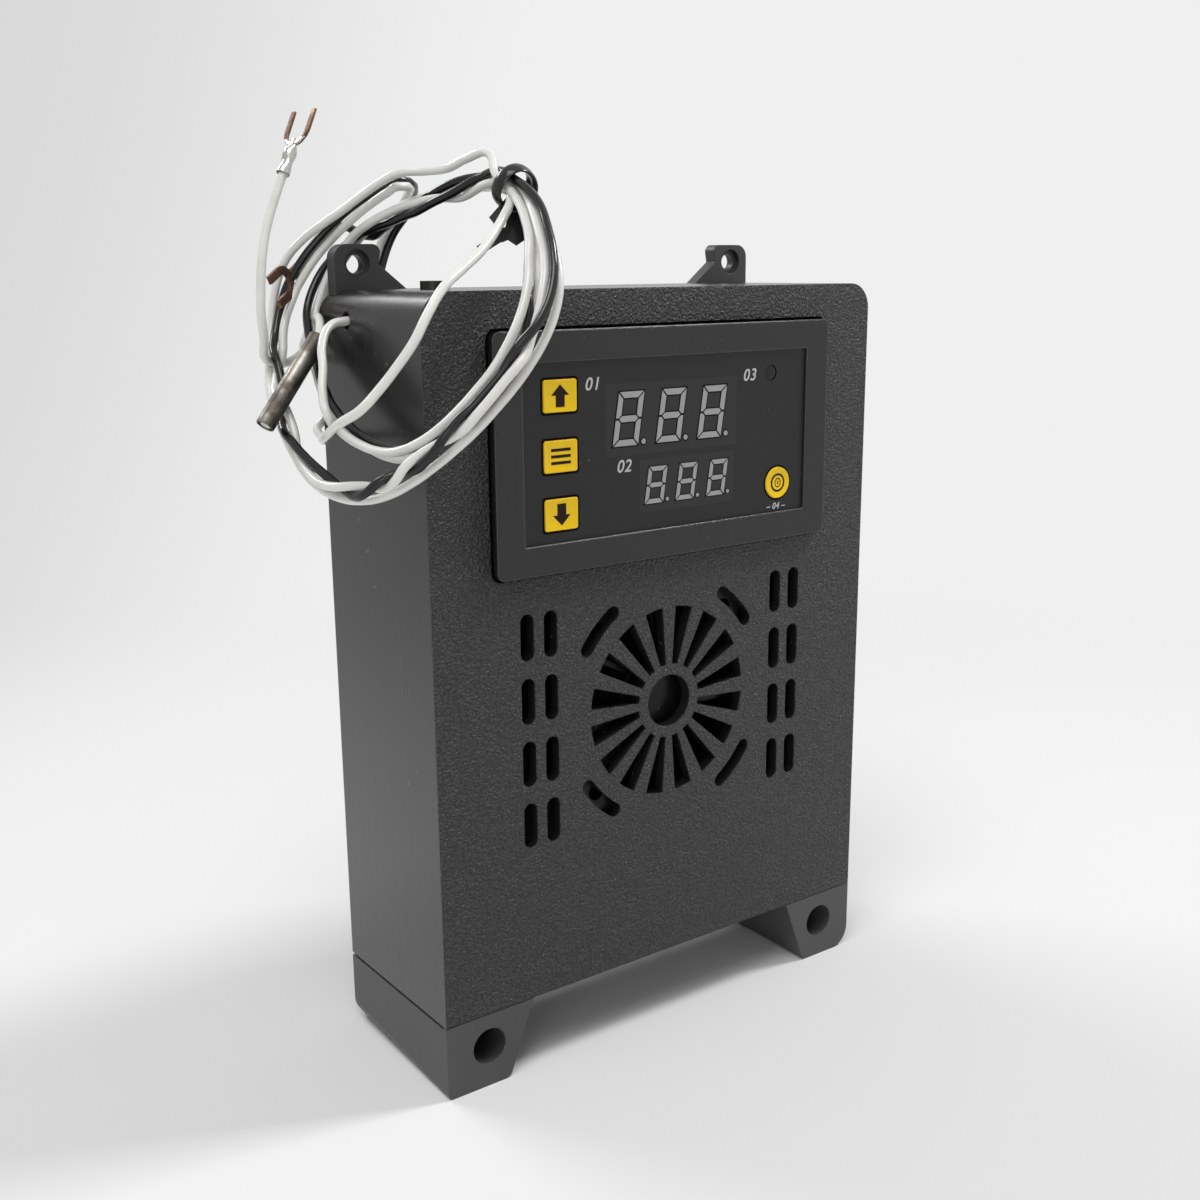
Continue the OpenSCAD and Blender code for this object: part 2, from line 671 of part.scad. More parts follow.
module terminal_block() color("#2e7d4f") difference() {
    block([-terminal_w / 2, module_back_y, terminal_z - terminal_h / 2],
        [terminal_w / 2, module_back_y + terminal_d, terminal_z + terminal_h / 2]);
    for (i = [-2:2]) rod(i * 9, module_back_y + 3, terminal_z, 2, terminal_d);
}

module key_switches() color("#8d8f92")
    for (at = [up_at, set_at, down_at, round_key_at]) {
        translate([at[0] - switch_size[0] / 2, board_y - switch_size[1], at[1] - switch_size[2] / 2])
            cube(switch_size);
        rod(at[0], key_pin_y, at[1], switch_pin_r, board_y - switch_size[1] - key_pin_y + eps);
    }

// Key: cap in the window and a flange that keeps it in
module key(at, w, h) {
    key_cut(at, w, h, key_front_y, key_back_y - key_front_y);
    key_cut(at, w + 2 * key_flange, h + 2 * key_flange, key_back_y, key_flange_t);
}

module key_up() color("#f2c40f") key(up_at, key_w, key_h);
module key_set() color("#f2c40f") key(set_at, key_w, key_h);
module key_down() color("#f2c40f") key(down_at, key_w, key_h);
module key_restart() color("#f2c40f") {
    rod(round_key_at[0], key_front_y, round_key_at[1], round_key_d / 2, key_back_y - key_front_y);
    rod(round_key_at[0], key_back_y, round_key_at[1], round_key_d / 2 + key_flange, key_flange_t);
}

// ---------------------------------------------------------------- fan and heater

module fan_frame() color("#1b1b1c") difference() {
    union() {
        difference() {
            slab(fan_y, fan_t) translate([0, fan_z]) rounded(fan_size, fan_size, 3);
            rod(0, fan_y - 1, fan_z, fan_bore_r, fan_t + 2);
        }
        rod(0, fan_back_y - fan_hub_t, fan_z, hub_r, fan_hub_t);
        for (a = [30, 150, 270]) slab(fan_back_y - fan_hub_t, fan_hub_t)
            translate([0, fan_z]) rotate(a) translate([hub_r - 1, -strut_w / 2])
                square([fan_bore_r - hub_r + 1.4, strut_w]);
    }
    for (sx = [-1, 1], sz = [-1, 1])
        rod(sx * fan_size * 0.4, fan_y - 1, fan_z + sz * fan_size * 0.4, fan_hole_r, fan_t + 2);
}

stator_front_y = fan_back_y - fan_hub_t - stator_l;
rotor_wall = 1.2;

module fan_stator() color("#a5642c") difference() {
    union() {
        rod(0, stator_front_y, fan_z, bush_r + 1, stator_l);
        for (a = [0:90:270]) slab(stator_front_y + stator_l / 6, stator_l * 2 / 3)
            translate([0, fan_z]) rotate(a) translate([0, -stator_l * 0.4])
                square([hub_r - rotor_wall - 0.7, stator_l * 0.8]);
    }
    rod(0, stator_front_y - 1, fan_z, bush_r, stator_l + 2);
}

module fan_bush() color("#c9a24a") difference() {
    rod(0, stator_front_y, fan_z, bush_r, stator_l);
    rod(0, stator_front_y - 1, fan_z, shaft_r + bush_gap, stator_l + 2);
}

module fan_shaft() color("#c8cacd")
    rod(0, rotor_y + shaft_cover, fan_z, shaft_r,
        fan_back_y - fan_hub_t - rotor_back_gap - rotor_y - shaft_cover);

module fan_rotor() color("#161617") {
    rotor_l = fan_back_y - fan_hub_t - rotor_back_gap - rotor_y;
    difference() {
        rod(0, rotor_y, fan_z, hub_r, rotor_l);
        rod(0, rotor_y + rotor_wall, fan_z, hub_r - rotor_wall, rotor_l);
        rod(0, rotor_y + shaft_cover, fan_z, shaft_r, rotor_l);
    }
    intersection() {
        rod(0, rotor_y, fan_z, blade_r, rotor_l);
        for (i = [0:blade_count - 1])
            translate([0, rotor_y + rotor_l / 2, fan_z]) rotate([0, 360 / blade_count * i, 0])
                translate([hub_r - 0.6, 0, 0]) rotate([blade_lean, 0, 0])
                    translate([0, -rotor_l, -blade_t / 2]) cube([blade_r, 2 * rotor_l, blade_t]);
    }
}

module fan_screws() color("#b9bcc0")
    for (s = [-1, 1], t = [-1, 1]) translate([s * fan_post_x, fan_back_y + lug_t, fan_z + t * fan_post_dz])
        rotate([90, 0, 0]) screw(fan_screw_head[0], fan_screw_head[1], fan_pilot_r, lug_t + fan_screw_l);

module heater_frame() color("#d8d3c4") difference() {
    union() {
        slab(fan_back_y, heater_d) translate([0, fan_z]) rounded(fan_size, fan_size, 2);
        slab(fan_back_y, lug_t) translate([0, fan_z]) for (s = [-1, 1], t = [-1, 1]) {
            translate([s * fan_post_x, t * fan_post_dz]) circle(lug_r);
            translate([s * (fan_post_x + fan_size / 2 - 1) / 2, t * fan_post_dz])
                square([fan_post_x - fan_size / 2 + 1, 2 * lug_r], center = true);
        }
    }
    slab(fan_back_y - 1, heater_d + 2) translate([0, fan_z])
        square(fan_size - 2 * heater_wall - 2 * core_ledge, center = true);
    slab(fan_back_y + lug_t, heater_d) translate([0, fan_z])
        square(fan_size - 2 * heater_wall, center = true);
    for (s = [-1, 1], t = [-1, 1])
        rod(s * fan_post_x, fan_back_y - 1, fan_z + t * fan_post_dz, heater_hole_r, lug_t + 2);
}

core_w = fan_size - 2 * heater_wall - 0.2;
core_y = fan_back_y + lug_t;

module heater_core() color("#c3c6ca") translate([0, core_y, fan_z]) {
    for (z = [-1, 0, 1]) translate([-core_w / 2, 0, z * (core_w - bar_t) / 2 - bar_t / 2])
        cube([core_w, core_d, bar_t]);
    for (i = [0:floor((core_w - 1) / fin_pitch)])
        translate([-core_w / 2 + 0.5 + i * fin_pitch, 0, -core_w / 2 + 1])
            cube([fin_t, core_d, core_w - 2]);
}

module heater_tabs() color("#c9a24a")
    for (s = [-1, 1])
        translate([-core_w / 2 + 2, core_y + core_d, fan_z + s * (core_w - bar_t) / 2 - tab_size[2] / 2])
            cube(tab_size);

module thermal_cutoff() color("#9b9da0")
    translate([8, fan_back_y + heater_d / 2, fan_z + fan_size / 2]) {
        cylinder(r = cutoff_r, h = cutoff_h);
        translate([-cutoff_foot[0] / 2, -cutoff_foot[1] / 2, 0]) cube(cutoff_foot);
    }

module inner_wiring() color("#dddddd")
    for (route = inner_routes) lead(route);

// ---------------------------------------------------------------- leads outside

module in_coil() {
    translate(lead_shift + coil_at) rotate(coil_turn) children();
}

module lead_coil() color("#8a8a8a")
    in_coil() rotate_extrude($fn = 64) translate([coil_r, 0]) circle(bundle_r, $fn = 24);

module coil_tie() color("#141414") in_coil() rotate(tie_angle) translate([coil_r, 0, 0]) {
    rotate([90, 0, 0]) difference() {
        cylinder(r = bundle_r + 1, h = 3, center = true);
        cylinder(r = bundle_r + 0.12, h = 4, center = true);
    }
    for (tail = tie_tails) rotate([0, tail[0] - 90, 0]) translate([-0.3, -1.6, bundle_r + 0.3])
        cube([0.6, 3.2, tail[1]]);
}

module sensor_lead_start() color("#f0f0ec") translate(lead_shift) lead(sensor_start_route);
module sensor_lead_tail() color("#f0f0ec") translate(lead_shift) lead(sensor_tail_route);
module white_lead_start() color("#f0f0ec") translate(lead_shift) lead(white_start_route);
module white_lead_tail() color("#f0f0ec") translate(lead_shift) lead(white_tail_route);
module black_lead_start() color("#1a1a1a") translate(lead_shift) lead(black_start_route);
module black_lead_tail() color("#1a1a1a") translate(lead_shift) lead(black_tail_route);

module sensor_probe() color("#8f8a84")
    translate(lead_shift + probe_from) rotate(probe_turn) {
        cylinder(d = probe_d, h = probe_l - 0.6);
        translate([0, 0, probe_l - 0.6]) cylinder(d = probe_d - 1, h = 0.6);
    }

// Fork terminal: barrel from the origin upwards, then a flat fork
module fork(slot_r, t) {
    cylinder(d = lead_d + 1.2, h = 4.5);
    translate([0, t / 2, 0]) rotate([90, 0, 0]) linear_extrude(t) difference() {
        union() {
            translate([-1.2, 4]) square([2.4, 4]);
            translate([0, 8.4]) circle(3.1);
            translate([-3.1, 8.4]) square([6.2, 4.4]);
        }
        translate([0, 8.6]) circle(slot_r);
        translate([-slot_r, 8.6]) square([2 * slot_r, 6]);
    }
}

module fork_white() color("#c9c9c4")
    translate(lead_shift + fork_white_at) rotate(fork_white_turn) rotate(fork_white_spin)
        fork(fork_white_slot_r, fork_white_t);
module fork_black() color("#a86a3c")
    translate(lead_shift + fork_black_at) rotate(fork_black_turn) rotate(fork_black_spin)
        fork(fork_black_slot_r, fork_black_t);

front_shell();
rear_plate();
foot_cover();
plate_screws();
foot_cover_screws();
top_screw();
lead_clamp();
controller_bezel();
controller_window();
controller_case();
controller_clips();
controller_board();
display_main();
display_set();
out_lamp();
controller_relay();
terminal_block();
key_switches();
key_up();
key_set();
key_down();
key_restart();
fan_frame();
fan_stator();
fan_bush();
fan_shaft();
fan_rotor();
fan_screws();
heater_frame();
heater_core();
heater_tabs();
thermal_cutoff();
inner_wiring();
lead_coil();
coil_tie();
sensor_lead_start();
sensor_lead_tail();
sensor_probe();
white_lead_start();
white_lead_tail();
fork_white();
black_lead_start();
black_lead_tail();
fork_black();
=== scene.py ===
# %% [markdown]
# # Thermostat heater
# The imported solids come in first, as a frame that stays where it is. Everything else is made round them:
# leads, keys, digits and fittings are modelled here, and the big mouldings keep their solids and get a
# finish. Millimetres are handier than metres on a part of this size, so MM and `mm` turn one into the other.

# %% Load the frame
import math

import bmesh
import bpy
import numpy as np
from mathutils import Euler, Matrix, Vector


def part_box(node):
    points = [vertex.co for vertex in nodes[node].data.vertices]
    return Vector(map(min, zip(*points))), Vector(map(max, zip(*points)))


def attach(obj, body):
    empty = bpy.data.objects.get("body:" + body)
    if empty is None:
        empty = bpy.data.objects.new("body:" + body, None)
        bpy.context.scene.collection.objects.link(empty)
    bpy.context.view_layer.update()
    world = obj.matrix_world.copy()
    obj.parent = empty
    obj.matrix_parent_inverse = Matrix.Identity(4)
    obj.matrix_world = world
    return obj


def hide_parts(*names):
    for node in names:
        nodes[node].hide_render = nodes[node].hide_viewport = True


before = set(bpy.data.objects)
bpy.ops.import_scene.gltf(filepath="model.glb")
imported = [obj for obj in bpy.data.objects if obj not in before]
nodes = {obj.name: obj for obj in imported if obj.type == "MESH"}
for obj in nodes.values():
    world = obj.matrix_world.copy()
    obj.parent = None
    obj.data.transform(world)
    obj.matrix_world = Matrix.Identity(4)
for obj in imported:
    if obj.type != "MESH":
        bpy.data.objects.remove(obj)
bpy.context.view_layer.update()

MM = 0.001


def mm(*values):
    return tuple(float(value) * MM for value in values)


# %% [markdown]
# The camera stands in front of the left corner, a little above the top of the case, and looks slightly
# down. A lens a bit longer than the usual one keeps the sides close to parallel.

# %% Camera
lens = bpy.data.cameras.new("camera")
lens.lens = 42.1
lens.sensor_width = 36
camera = bpy.data.objects.new("camera", lens)
camera.location = (-0.16605, -0.22264, 0.15078)
camera.rotation_euler = [math.radians(angle) for angle in (76.62, 0.467, -36.297)]
bpy.context.scene.collection.objects.link(camera)
bpy.context.scene.camera = camera
bpy.context.scene.view_settings.view_transform = "Standard"
print("camera at", [round(v, 3) for v in camera.location])

# %% [markdown]
# ## Cords
# Three leads leave the case: one white sensor lead through the left side, and a twisted white and black
# power pair through the back. A lead keeps its length, so each is one curve with a round section. The loose
# ends are listed points. The coil is worked out by a loop instead: radius and lift over the angle
# round a leaning circle say where a lead runs, so turns can lie beside each other without touching.

# %% Size and lean of the coil
WIRE_D = 1.6
RING_CENTRE = np.array([-46.0, -3.25, 143.0])
RING_ACROSS = np.array([-0.4925, -0.1506, -0.8572])
RING_ALONG = np.array([0.2924, -0.9563, 0.0])
RING_NORMAL = np.cross(RING_ACROSS, RING_ALONG)
TIE = 150.0
TURN = 360.0
# Radius of the coil's outer and inner lay, by the angle round it
OUTER = [
    (0, 33.6), (8, 34.2), (16, 34.0), (25, 32.6), (35, 31.2), (45, 30.4), (60, 29.8), (75, 30.2),
    (90, 30.8), (103, 30.4), (120, 29.2), (150, 28.9), (175, 29.2), (190, 29.0), (207, 28.6), (224, 29.3),
    (239, 30.0), (250, 30.6), (262, 30.8), (275, 30.0), (293, 28.6), (314, 28.5), (328, 29.7), (343, 31.4)]
INNER = [
    (0, 24.0), (10, 25.6), (20, 27.2), (30, 27.4), (38, 27.2), (50, 26.6), (60, 26.2), (76, 25.8),
    (90, 25.6), (113, 25.0), (135, 26.0), (150, 27.2), (165, 25.6), (184, 23.9), (202, 23.8), (218, 25.2),
    (233, 27.6), (245, 28.0), (255, 27.6), (267, 26.4), (280, 24.0), (300, 21.8), (318, 21.2), (334, 21.6),
    (347, 22.4)]
print("coil leans, its normal is", [round(float(v), 2) for v in RING_NORMAL])


# %% [markdown]
# Four small helpers place a lead on the coil: `around` reads a lay's radius, `ease` is a soft step,
# `ring_point` turns angle, radius and lift into a place, and `tied` draws a lead into its seat in the tie.

# %% Places on the coil
def around(lay, angle):
    angles = [row[0] for row in lay]
    radii = [row[1] for row in lay]
    return float(np.interp(angle % TURN, angles, radii, period=TURN))


def ease(x):
    x = min(1.0, max(0.0, x))
    return x * x * (3 - 2 * x)


def ring_point(angle, radius, lift):
    a = math.radians(angle)
    flat = math.cos(a) * RING_ACROSS + math.sin(a) * RING_ALONG
    return RING_CENTRE + radius * flat + lift * RING_NORMAL


def tied(angle, at, free, seat, reach=32):
    share = ease(1 - abs(angle - at) / reach)
    return tuple(f + share * (s - f) for f, s in zip(free, seat))


print("tie at", [round(float(v), 1) for v in ring_point(TIE, 28, 0)])


# %% [markdown]
# The power pair makes two and a quarter turns. Its middle runs over the outer lay, then the inner, then
# below the first. Its two wires turn about that middle, and TWIST says how far they have turned by each
# angle. A hand-wound pair twists unevenly, so the steps differ, and in the tie the two lie stacked.

# %% Power pair on the coil
SEAT_LOW = (28.9, 1.1)
SEAT_HIGH = (27.2, -0.95)
TWIST = [
    (205, -1090), (235, -1030), (262, -1030), (275, -1075), (285, -1060), (295, -946), (304, -900),
    (312, -778), (320, -720), (332, -616), (350, -540), (362, -450), (375, -301), (384, -126), (392, -10),
    (400, 50), (410, 170), (430, 180), (443, 50), (456, 0), (490, 10), (510, 90), (528, 20), (548, 131),
    (560, 180), (607, 360), (655, 500), (715, 480), (745, 510), (772, 407), (788, 360), (804, 365),
    (814, 410), (828, 530), (850, 560), (870, 630), (1002, 1224)]
PAIR_OFFSET = 0.88


def pair_middle(angle):
    out = around(OUTER, angle)
    first = (out, 1.7)
    second = (around(INNER, angle), -1.0)
    third = (out - 0.4, -4.0)
    if angle < TIE + TURN:
        return tied(angle, TIE + TURN, first, SEAT_LOW)
    if angle < TIE + 2 * TURN:
        return tied(angle, TIE + 2 * TURN, tied(angle, TIE + TURN, second, SEAT_LOW), SEAT_HIGH)
    return tied(angle, TIE + 2 * TURN, third, SEAT_HIGH)


def pair_wire(angle, side):
    radius, lift = pair_middle(angle)
    turn = math.radians(np.interp(angle, *zip(*TWIST)))
    offset = side * PAIR_OFFSET
    return ring_point(angle, radius + offset * math.cos(turn), lift + offset * math.sin(turn))


print("pair seats:", SEAT_LOW, SEAT_HIGH)


# %% [markdown]
# The sensor lead is single. It comes up inside the pair, goes through the tie, swings out over the top
# as a small bow of its own, crosses behind at the left and ends its second round in the tie again.

# %% Sensor lead on the coil
def sensor_wire(angle):
    out = around(OUTER, angle)
    inner = around(INNER, angle)
    last = (max(out - 0.5, inner + 2.8), -2.0)
    if angle < TIE:
        return ring_point(angle, *tied(angle, TIE, (min(inner + 1.0, out - 2.8), 1.7), (27.2, 1.6)))
    if angle < 285:
        bow = 3.2 * math.exp(-((angle - 168) / 8.5) ** 2)
        radius = 27.9 + ease((angle - 222) / 36) * (out - 25.5) + bow
        dip = 0.8 * math.exp(-((angle - 184) / 10) ** 2)
        lift = 2.6 - dip + 1.8 * ease((angle - 190) / 15) - 3.0 * ease((angle - 250) / 34)
        return ring_point(angle, *tied(angle, TIE, (radius, lift), (27.2, 1.6), 15))
    if angle < 400:
        sink = ease((angle - 300) / 40)
        draw = ease((angle - 335) / 45)
        return ring_point(angle, out + 2.4 + draw * (last[0] - out - 2.4), 1.4 + sink * (last[1] - 1.4))
    return ring_point(angle, *tied(angle, TIE + TURN, last, (28.9, -1.5)))


def coil_run(place, first, last, step):
    count = int((last - first) / step)
    return [place(first + (last - first) * i / count) for i in range(count + 1)]


print("sensor lead leaves the tie at", [round(float(v), 1) for v in sensor_wire(TIE + TURN)])

# %% [markdown]
# The loose ends are listed from the case outwards, in millimetres. They are the same points that the
# solid leads follow, so each lead lies where its solid lies.

# %% Loose ends of the leads
SENSOR_START = [
    (-43, 8.75, 141.7), (-47.5, 8.75, 141.7), (-52, 8.75, 141.7), (-55.5, 8, 141), (-58.5, 5.5, 138),
    (-60, 2.5, 134), (-61.5, 0, 130), (-62, -3, 126)]
SENSOR_TAIL = [
    (-30, -13.5, 163.5), (-33, -15.5, 160.5), (-37, -18, 157), (-41.5, -20.5, 153.5),
    (-46.5, -22.5, 150.5), (-51.5, -24.5, 147.5), (-55, -25.5, 143.5), (-57.5, -25.5, 139.5),
    (-60, -24, 135.5), (-62.5, -22.5, 132), (-65, -21, 129), (-66.5, -17.5, 127), (-66, -13, 125.5),
    (-65, -8.5, 124), (-63.5, -4, 123), (-61.5, 0.5, 122), (-59.5, 5, 121.5), (-57.5, 9.5, 121),
    (-55.5, 14, 121), (-54.3, 17.8, 121), (-53, 21, 121.8), (-50.3, 22.3, 124), (-49, 22.5, 127.5),
    (-48.5, 22.5, 131.5), (-49, 22.5, 135.5), (-50.2, 22.3, 138.6), (-51.8, 21, 141),
    (-53.2, 18.6, 142.2), (-54, 15.9, 141.9), (-54.9, 13.7, 140.7), (-56, 12, 139)]
WHITE_START = [
    (-39.4, 11, 141), (-39.4, 16, 141), (-39.4, 20.5, 141.3), (-39.2, 23.8, 143.5),
    (-38.5, 25.4, 147.5), (-37, 26, 152), (-35, 25.3, 157), (-33, 22.5, 161.5)]
BLACK_START = [(x + 1.8, y, z) for x, y, z in WHITE_START]
WHITE_TAIL = [
    (-62.6, 20.5, 134.8), (-63.9, 17.8, 138.8), (-64.5, 17, 143.5), (-64.3, 17, 147), (-63.8, 17.3, 151),
    (-62.8, 17.7, 155.5), (-61.4, 17.8, 160), (-60, 17.8, 163.5), (-58.5, 17.8, 167)]
BLACK_TAIL = [(-44, 26, 158.5), (-45.2, 29.3, 156.6), (-47.5, 30.8, 153.8), (-50.3, 29.5, 151.6)]
print("loose points:", len(SENSOR_START) + len(SENSOR_TAIL), "on the sensor lead")


# %% [markdown]
# A wire is a curve with a round bevel, so it stays one smooth spline however it winds. Automatic handles
# give a soft line through the points, and filled caps close its ends.

# %% Draw a wire
def wire(name, points):
    curve = bpy.data.curves.new(name, "CURVE")
    curve.dimensions = "3D"
    curve.bevel_depth = WIRE_D / 2 * MM
    curve.bevel_resolution = 3
    curve.resolution_u = 5
    curve.use_fill_caps = True
    spline = curve.splines.new("BEZIER")
    spline.bezier_points.add(len(points) - 1)
    for knot, point in zip(spline.bezier_points, points):
        knot.co = mm(*point)
        knot.handle_left_type = "AUTO"
        knot.handle_right_type = "AUTO"
    piece = bpy.data.objects.new(name, curve)
    bpy.context.scene.collection.objects.link(piece)
    steps = [np.linalg.norm(np.subtract(b, a)) for a, b in zip(points, points[1:])]
    print(name, "is", round(float(sum(steps))), "mm long")
    return piece


sensor_lead = wire("sensor_lead", SENSOR_START + coil_run(sensor_wire, -14, 508, 9) + SENSOR_TAIL)
white_run = coil_run(lambda angle: pair_wire(angle, -1), 207, 1002, 5)
white_lead = wire("white_lead", WHITE_START + white_run + WHITE_TAIL)
black_run = coil_run(lambda angle: pair_wire(angle, 1), 207, 950, 5)
black_lead = wire("black_lead", BLACK_START + black_run + BLACK_TAIL)


# %% [markdown]
# ## Finishes
# A finish is one Principled BSDF with a few nodes in front of it. `Value` wraps a node's output, so that
# plain Python sums such as `1 - mask * 0.5` add the Math nodes.

# %% Value: a socket that Python can reckon with
class Value:
    def __init__(self, tree, socket):
        self.tree = tree
        self.socket = socket

    def reckon(self, operation, first, second):
        return self.tree.node("ShaderNodeMath", {"operation": operation}, {0: first, 1: second})

    def __add__(self, other):
        return self.reckon("ADD", self, other)

    def __mul__(self, other):
        return self.reckon("MULTIPLY", self, other)

    def __sub__(self, other):
        return self.reckon("SUBTRACT", self, other)

    def __rsub__(self, other):
        return self.reckon("SUBTRACT", other, self)

    __radd__ = __add__
    __rmul__ = __mul__


print("a Value can be added, taken away and multiplied")


# %% [markdown]
# `Tree` adds nodes to any node tree. `node` makes one and joins or sets its sockets, `step` is a soft
# step from 0 to 1, and `blend` mixes two colours by a mask. The world at the end uses it too.

# %% Tree: adds nodes
class Tree:
    def __init__(self, tree):
        self.tree = tree

    def node(self, kind, settings, sockets, output=0):
        made = self.tree.nodes.new(kind)
        for setting, value in settings.items():
            setattr(made, setting, value)
        for socket, value in sockets.items():
            if isinstance(value, Value):
                self.tree.links.new(value.socket, made.inputs[socket])
            else:
                made.inputs[socket].default_value = value
        return Value(self, made.outputs[output])

    def vector(self, operation, sockets, output=0):
        return self.node("ShaderNodeVectorMath", {"operation": operation}, sockets, output)

    def step(self, value, low, high):
        return self.node("ShaderNodeMapRange", {"interpolation_type": "SMOOTHSTEP"}, {
            "Value": value, "From Min": low, "From Max": high})

    def blend(self, mask, colour_a, colour_b):
        sockets = {0: mask}
        for socket, colour in ((6, colour_a), (7, colour_b)):
            sockets[socket] = colour if isinstance(colour, Value) else (*colour, 1)
        return self.node("ShaderNodeMix", {"data_type": "RGBA"}, sockets, 2)


print("node helpers ready")


# %% [markdown]
# `Finish` holds one material while it is made. What is the same all over goes straight on the shader's
# sockets. `noise` is a pattern in the piece's own coordinates, and `skin` turns a pattern into a rough
# surface, on soft edges if a radius is given. The edge mask marks where the rounded normal and the flat
# one differ; it is used to paint a highlight along edges.

# %% Finish: one material in the making
class Finish(Tree):
    def __init__(self, name, colour, roughness, **constants):
        self.material = bpy.data.materials.new(name)
        self.material.use_nodes = True
        super().__init__(self.material.node_tree)
        self.shader = self.tree.nodes["Principled BSDF"]
        self.shader.inputs["Base Color"].default_value = (*colour, 1)
        self.shader.inputs["Roughness"].default_value = roughness
        self.material.diffuse_color = (*colour, 1)
        for socket, value in constants.items():
            self.shader.inputs[socket.replace("_", " ")].default_value = value
        self.place = self.node("ShaderNodeTexCoord", {}, {}, "Object")

    def feed(self, socket, value):
        self.tree.links.new(value.socket, self.shader.inputs[socket])

    def along(self, axis):
        return self.node("ShaderNodeSeparateXYZ", {}, {0: self.place}, axis)

    def stretched(self, x, y, z):
        return self.node("ShaderNodeMapping", {}, {"Vector": self.place, "Scale": (x, y, z)})

    def noise(self, scale, detail=2, where=None, roughness=0.5):
        return self.node("ShaderNodeTexNoise", {}, {
            "Vector": where or self.place, "Scale": scale, "Detail": detail, "Roughness": roughness})

    def soft_edge(self, radius):
        return self.node("ShaderNodeBevel", {"samples": 4}, {"Radius": radius * MM})

    def edge_glint_mask(self, radius):
        flat = self.node("ShaderNodeNewGeometry", {}, {}, "True Normal")
        alike = self.vector("DOT_PRODUCT", {0: self.soft_edge(radius), 1: flat}, "Value")
        return 1 - self.step(alike, 0.75, 0.97)

    def skin(self, height, depth, radius=0.0):
        sockets = {"Strength": 1.0, "Distance": depth * MM, "Height": height}
        if radius:
            sockets["Normal"] = self.soft_edge(radius)
        self.feed("Normal", self.node("ShaderNodeBump", {}, sockets))


def scaled(tone, factor):
    return tuple(min(1.0, c * factor) for c in tone)


print("finish helpers ready")

# %% [markdown]
# ### Case plastic
# The front of the shell has a spark-eroded leather grain and the sides are drawn smooth, with faint lines
# up them. It is one moulding, so one material does both: a mask from the depth tells front from side. The
# grain is a fine noise as bump and tone, and scattered pale spots in its colour are painted glints. The
# sides are paler towards the foot: that is a painted reflection of the pale floor.

# %% Case plastic
FRONT_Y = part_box("front_shell")[0].y
SIDE_FROM = 51.0
SIDE_TO = 51.6
FLOOR_REFLECTION_FADE = (15, 130)
case_finish = Finish("case_plastic", (0.026, 0.026, 0.0265), 0.4, Specular_IOR_Level=0.45)
front = 1 - case_finish.step(case_finish.along("Y"), FRONT_Y + 0.02 * MM, FRONT_Y + 0.12 * MM)
side = 1 - front
peel = case_finish.step(case_finish.noise(1650, 2, roughness=0.6), 0.37, 0.63)
pits = case_finish.noise(3200, 2)
# Scattered pale spots in the front colour: painted glints
painted_glints = case_finish.step(case_finish.noise(2300, 2), 0.64, 0.7)
across_case = case_finish.along("X")
outer_left = 1 - case_finish.step(across_case, *mm(-SIDE_TO, -SIDE_FROM))
outer = outer_left + case_finish.step(across_case, *mm(SIDE_FROM, SIDE_TO))
# Sides paler towards the foot: a painted reflection of the pale floor
low = (1 - case_finish.step(case_finish.along("Z"), *mm(*FLOOR_REFLECTION_FADE))) * outer
lines = case_finish.noise(1, 4, case_finish.stretched(60, 2400, 16), 0.7)
cloud = case_finish.noise(26, 3)
dust = case_finish.step(case_finish.noise(620, 2), 0.72, 0.76)
side_tone = case_finish.blend(lines, (0.005, 0.0048, 0.0048), (0.02, 0.0193, 0.0193))
floor_reflection_tone = case_finish.blend(lines, (0.055, 0.055, 0.056), (0.085, 0.085, 0.086))
side_tone = case_finish.blend(low, side_tone, floor_reflection_tone)
front_tone = case_finish.blend(peel, (0.009, 0.009, 0.0093), (0.03, 0.03, 0.0305))
front_tone = case_finish.blend(painted_glints * 0.5, front_tone, (0.17, 0.17, 0.17))
tone = case_finish.blend(front, side_tone, front_tone)
tone = case_finish.blend(cloud * 0.12, tone, (0.042, 0.042, 0.043))
tone = case_finish.blend(dust * 0.2 * side, tone, (0.3, 0.3, 0.29))
case_finish.feed("Base Color", tone)
case_finish.feed("Roughness", 0.21 + lines * 0.1 * side + front * (0.17 - peel * 0.12))
case_finish.skin(front * (peel + pits * 0.4) + side * lines * 0.04, 0.28, 0.6)
print("case plastic:", len(case_finish.tree.nodes), "nodes")

# %% [markdown]
# ### Solids that stay
# Shells, plates, the fan and the heater have their right shape already, so their nodes stay in place and
# only take a finish. The record says which slot each node belongs to, and the finishes follow it.

# %% Dress a solid that stays
def dress(material, *names):
    for name in names:
        nodes[name].data.materials.clear()
        nodes[name].data.materials.append(material)
    print(material.name, "on", ", ".join(names))


dress(case_finish.material, "front_shell")

# %% [markdown]
# ### Other mouldings
# The foot cover, the back plate and the panel are smooth satin mouldings from other tools, so each has
# its own tone and grain. A short function makes them, with a flow pattern and a faint dusting of specks.

# %% Satin mouldings
def satin(name, tone, roughness, grain_scale=900, grain_depth=0.012, radius=0.3, specks=0.1, shine=0.5,
          edge_highlight=0.0):
    finish = Finish(name, tone, roughness, Specular_IOR_Level=shine)
    flow = finish.noise(35, 4)
    fine = finish.noise(grain_scale, 3)
    speck = finish.step(finish.noise(850, 1), 0.74, 0.78)
    shade = finish.blend(flow, scaled(tone, 0.78), scaled(tone, 1.3))
    # Edges painted a paler grey: a painted highlight along the edges
    if edge_highlight:
        shade = finish.blend(finish.edge_glint_mask(0.35) * edge_highlight, shade, (0.34, 0.34, 0.34))
    finish.feed("Base Color", finish.blend(speck * specks, shade, (0.4, 0.4, 0.39)))
    finish.feed("Roughness", roughness - 0.06 + flow * 0.12)
    finish.skin(fine, grain_depth, radius)
    return finish.material


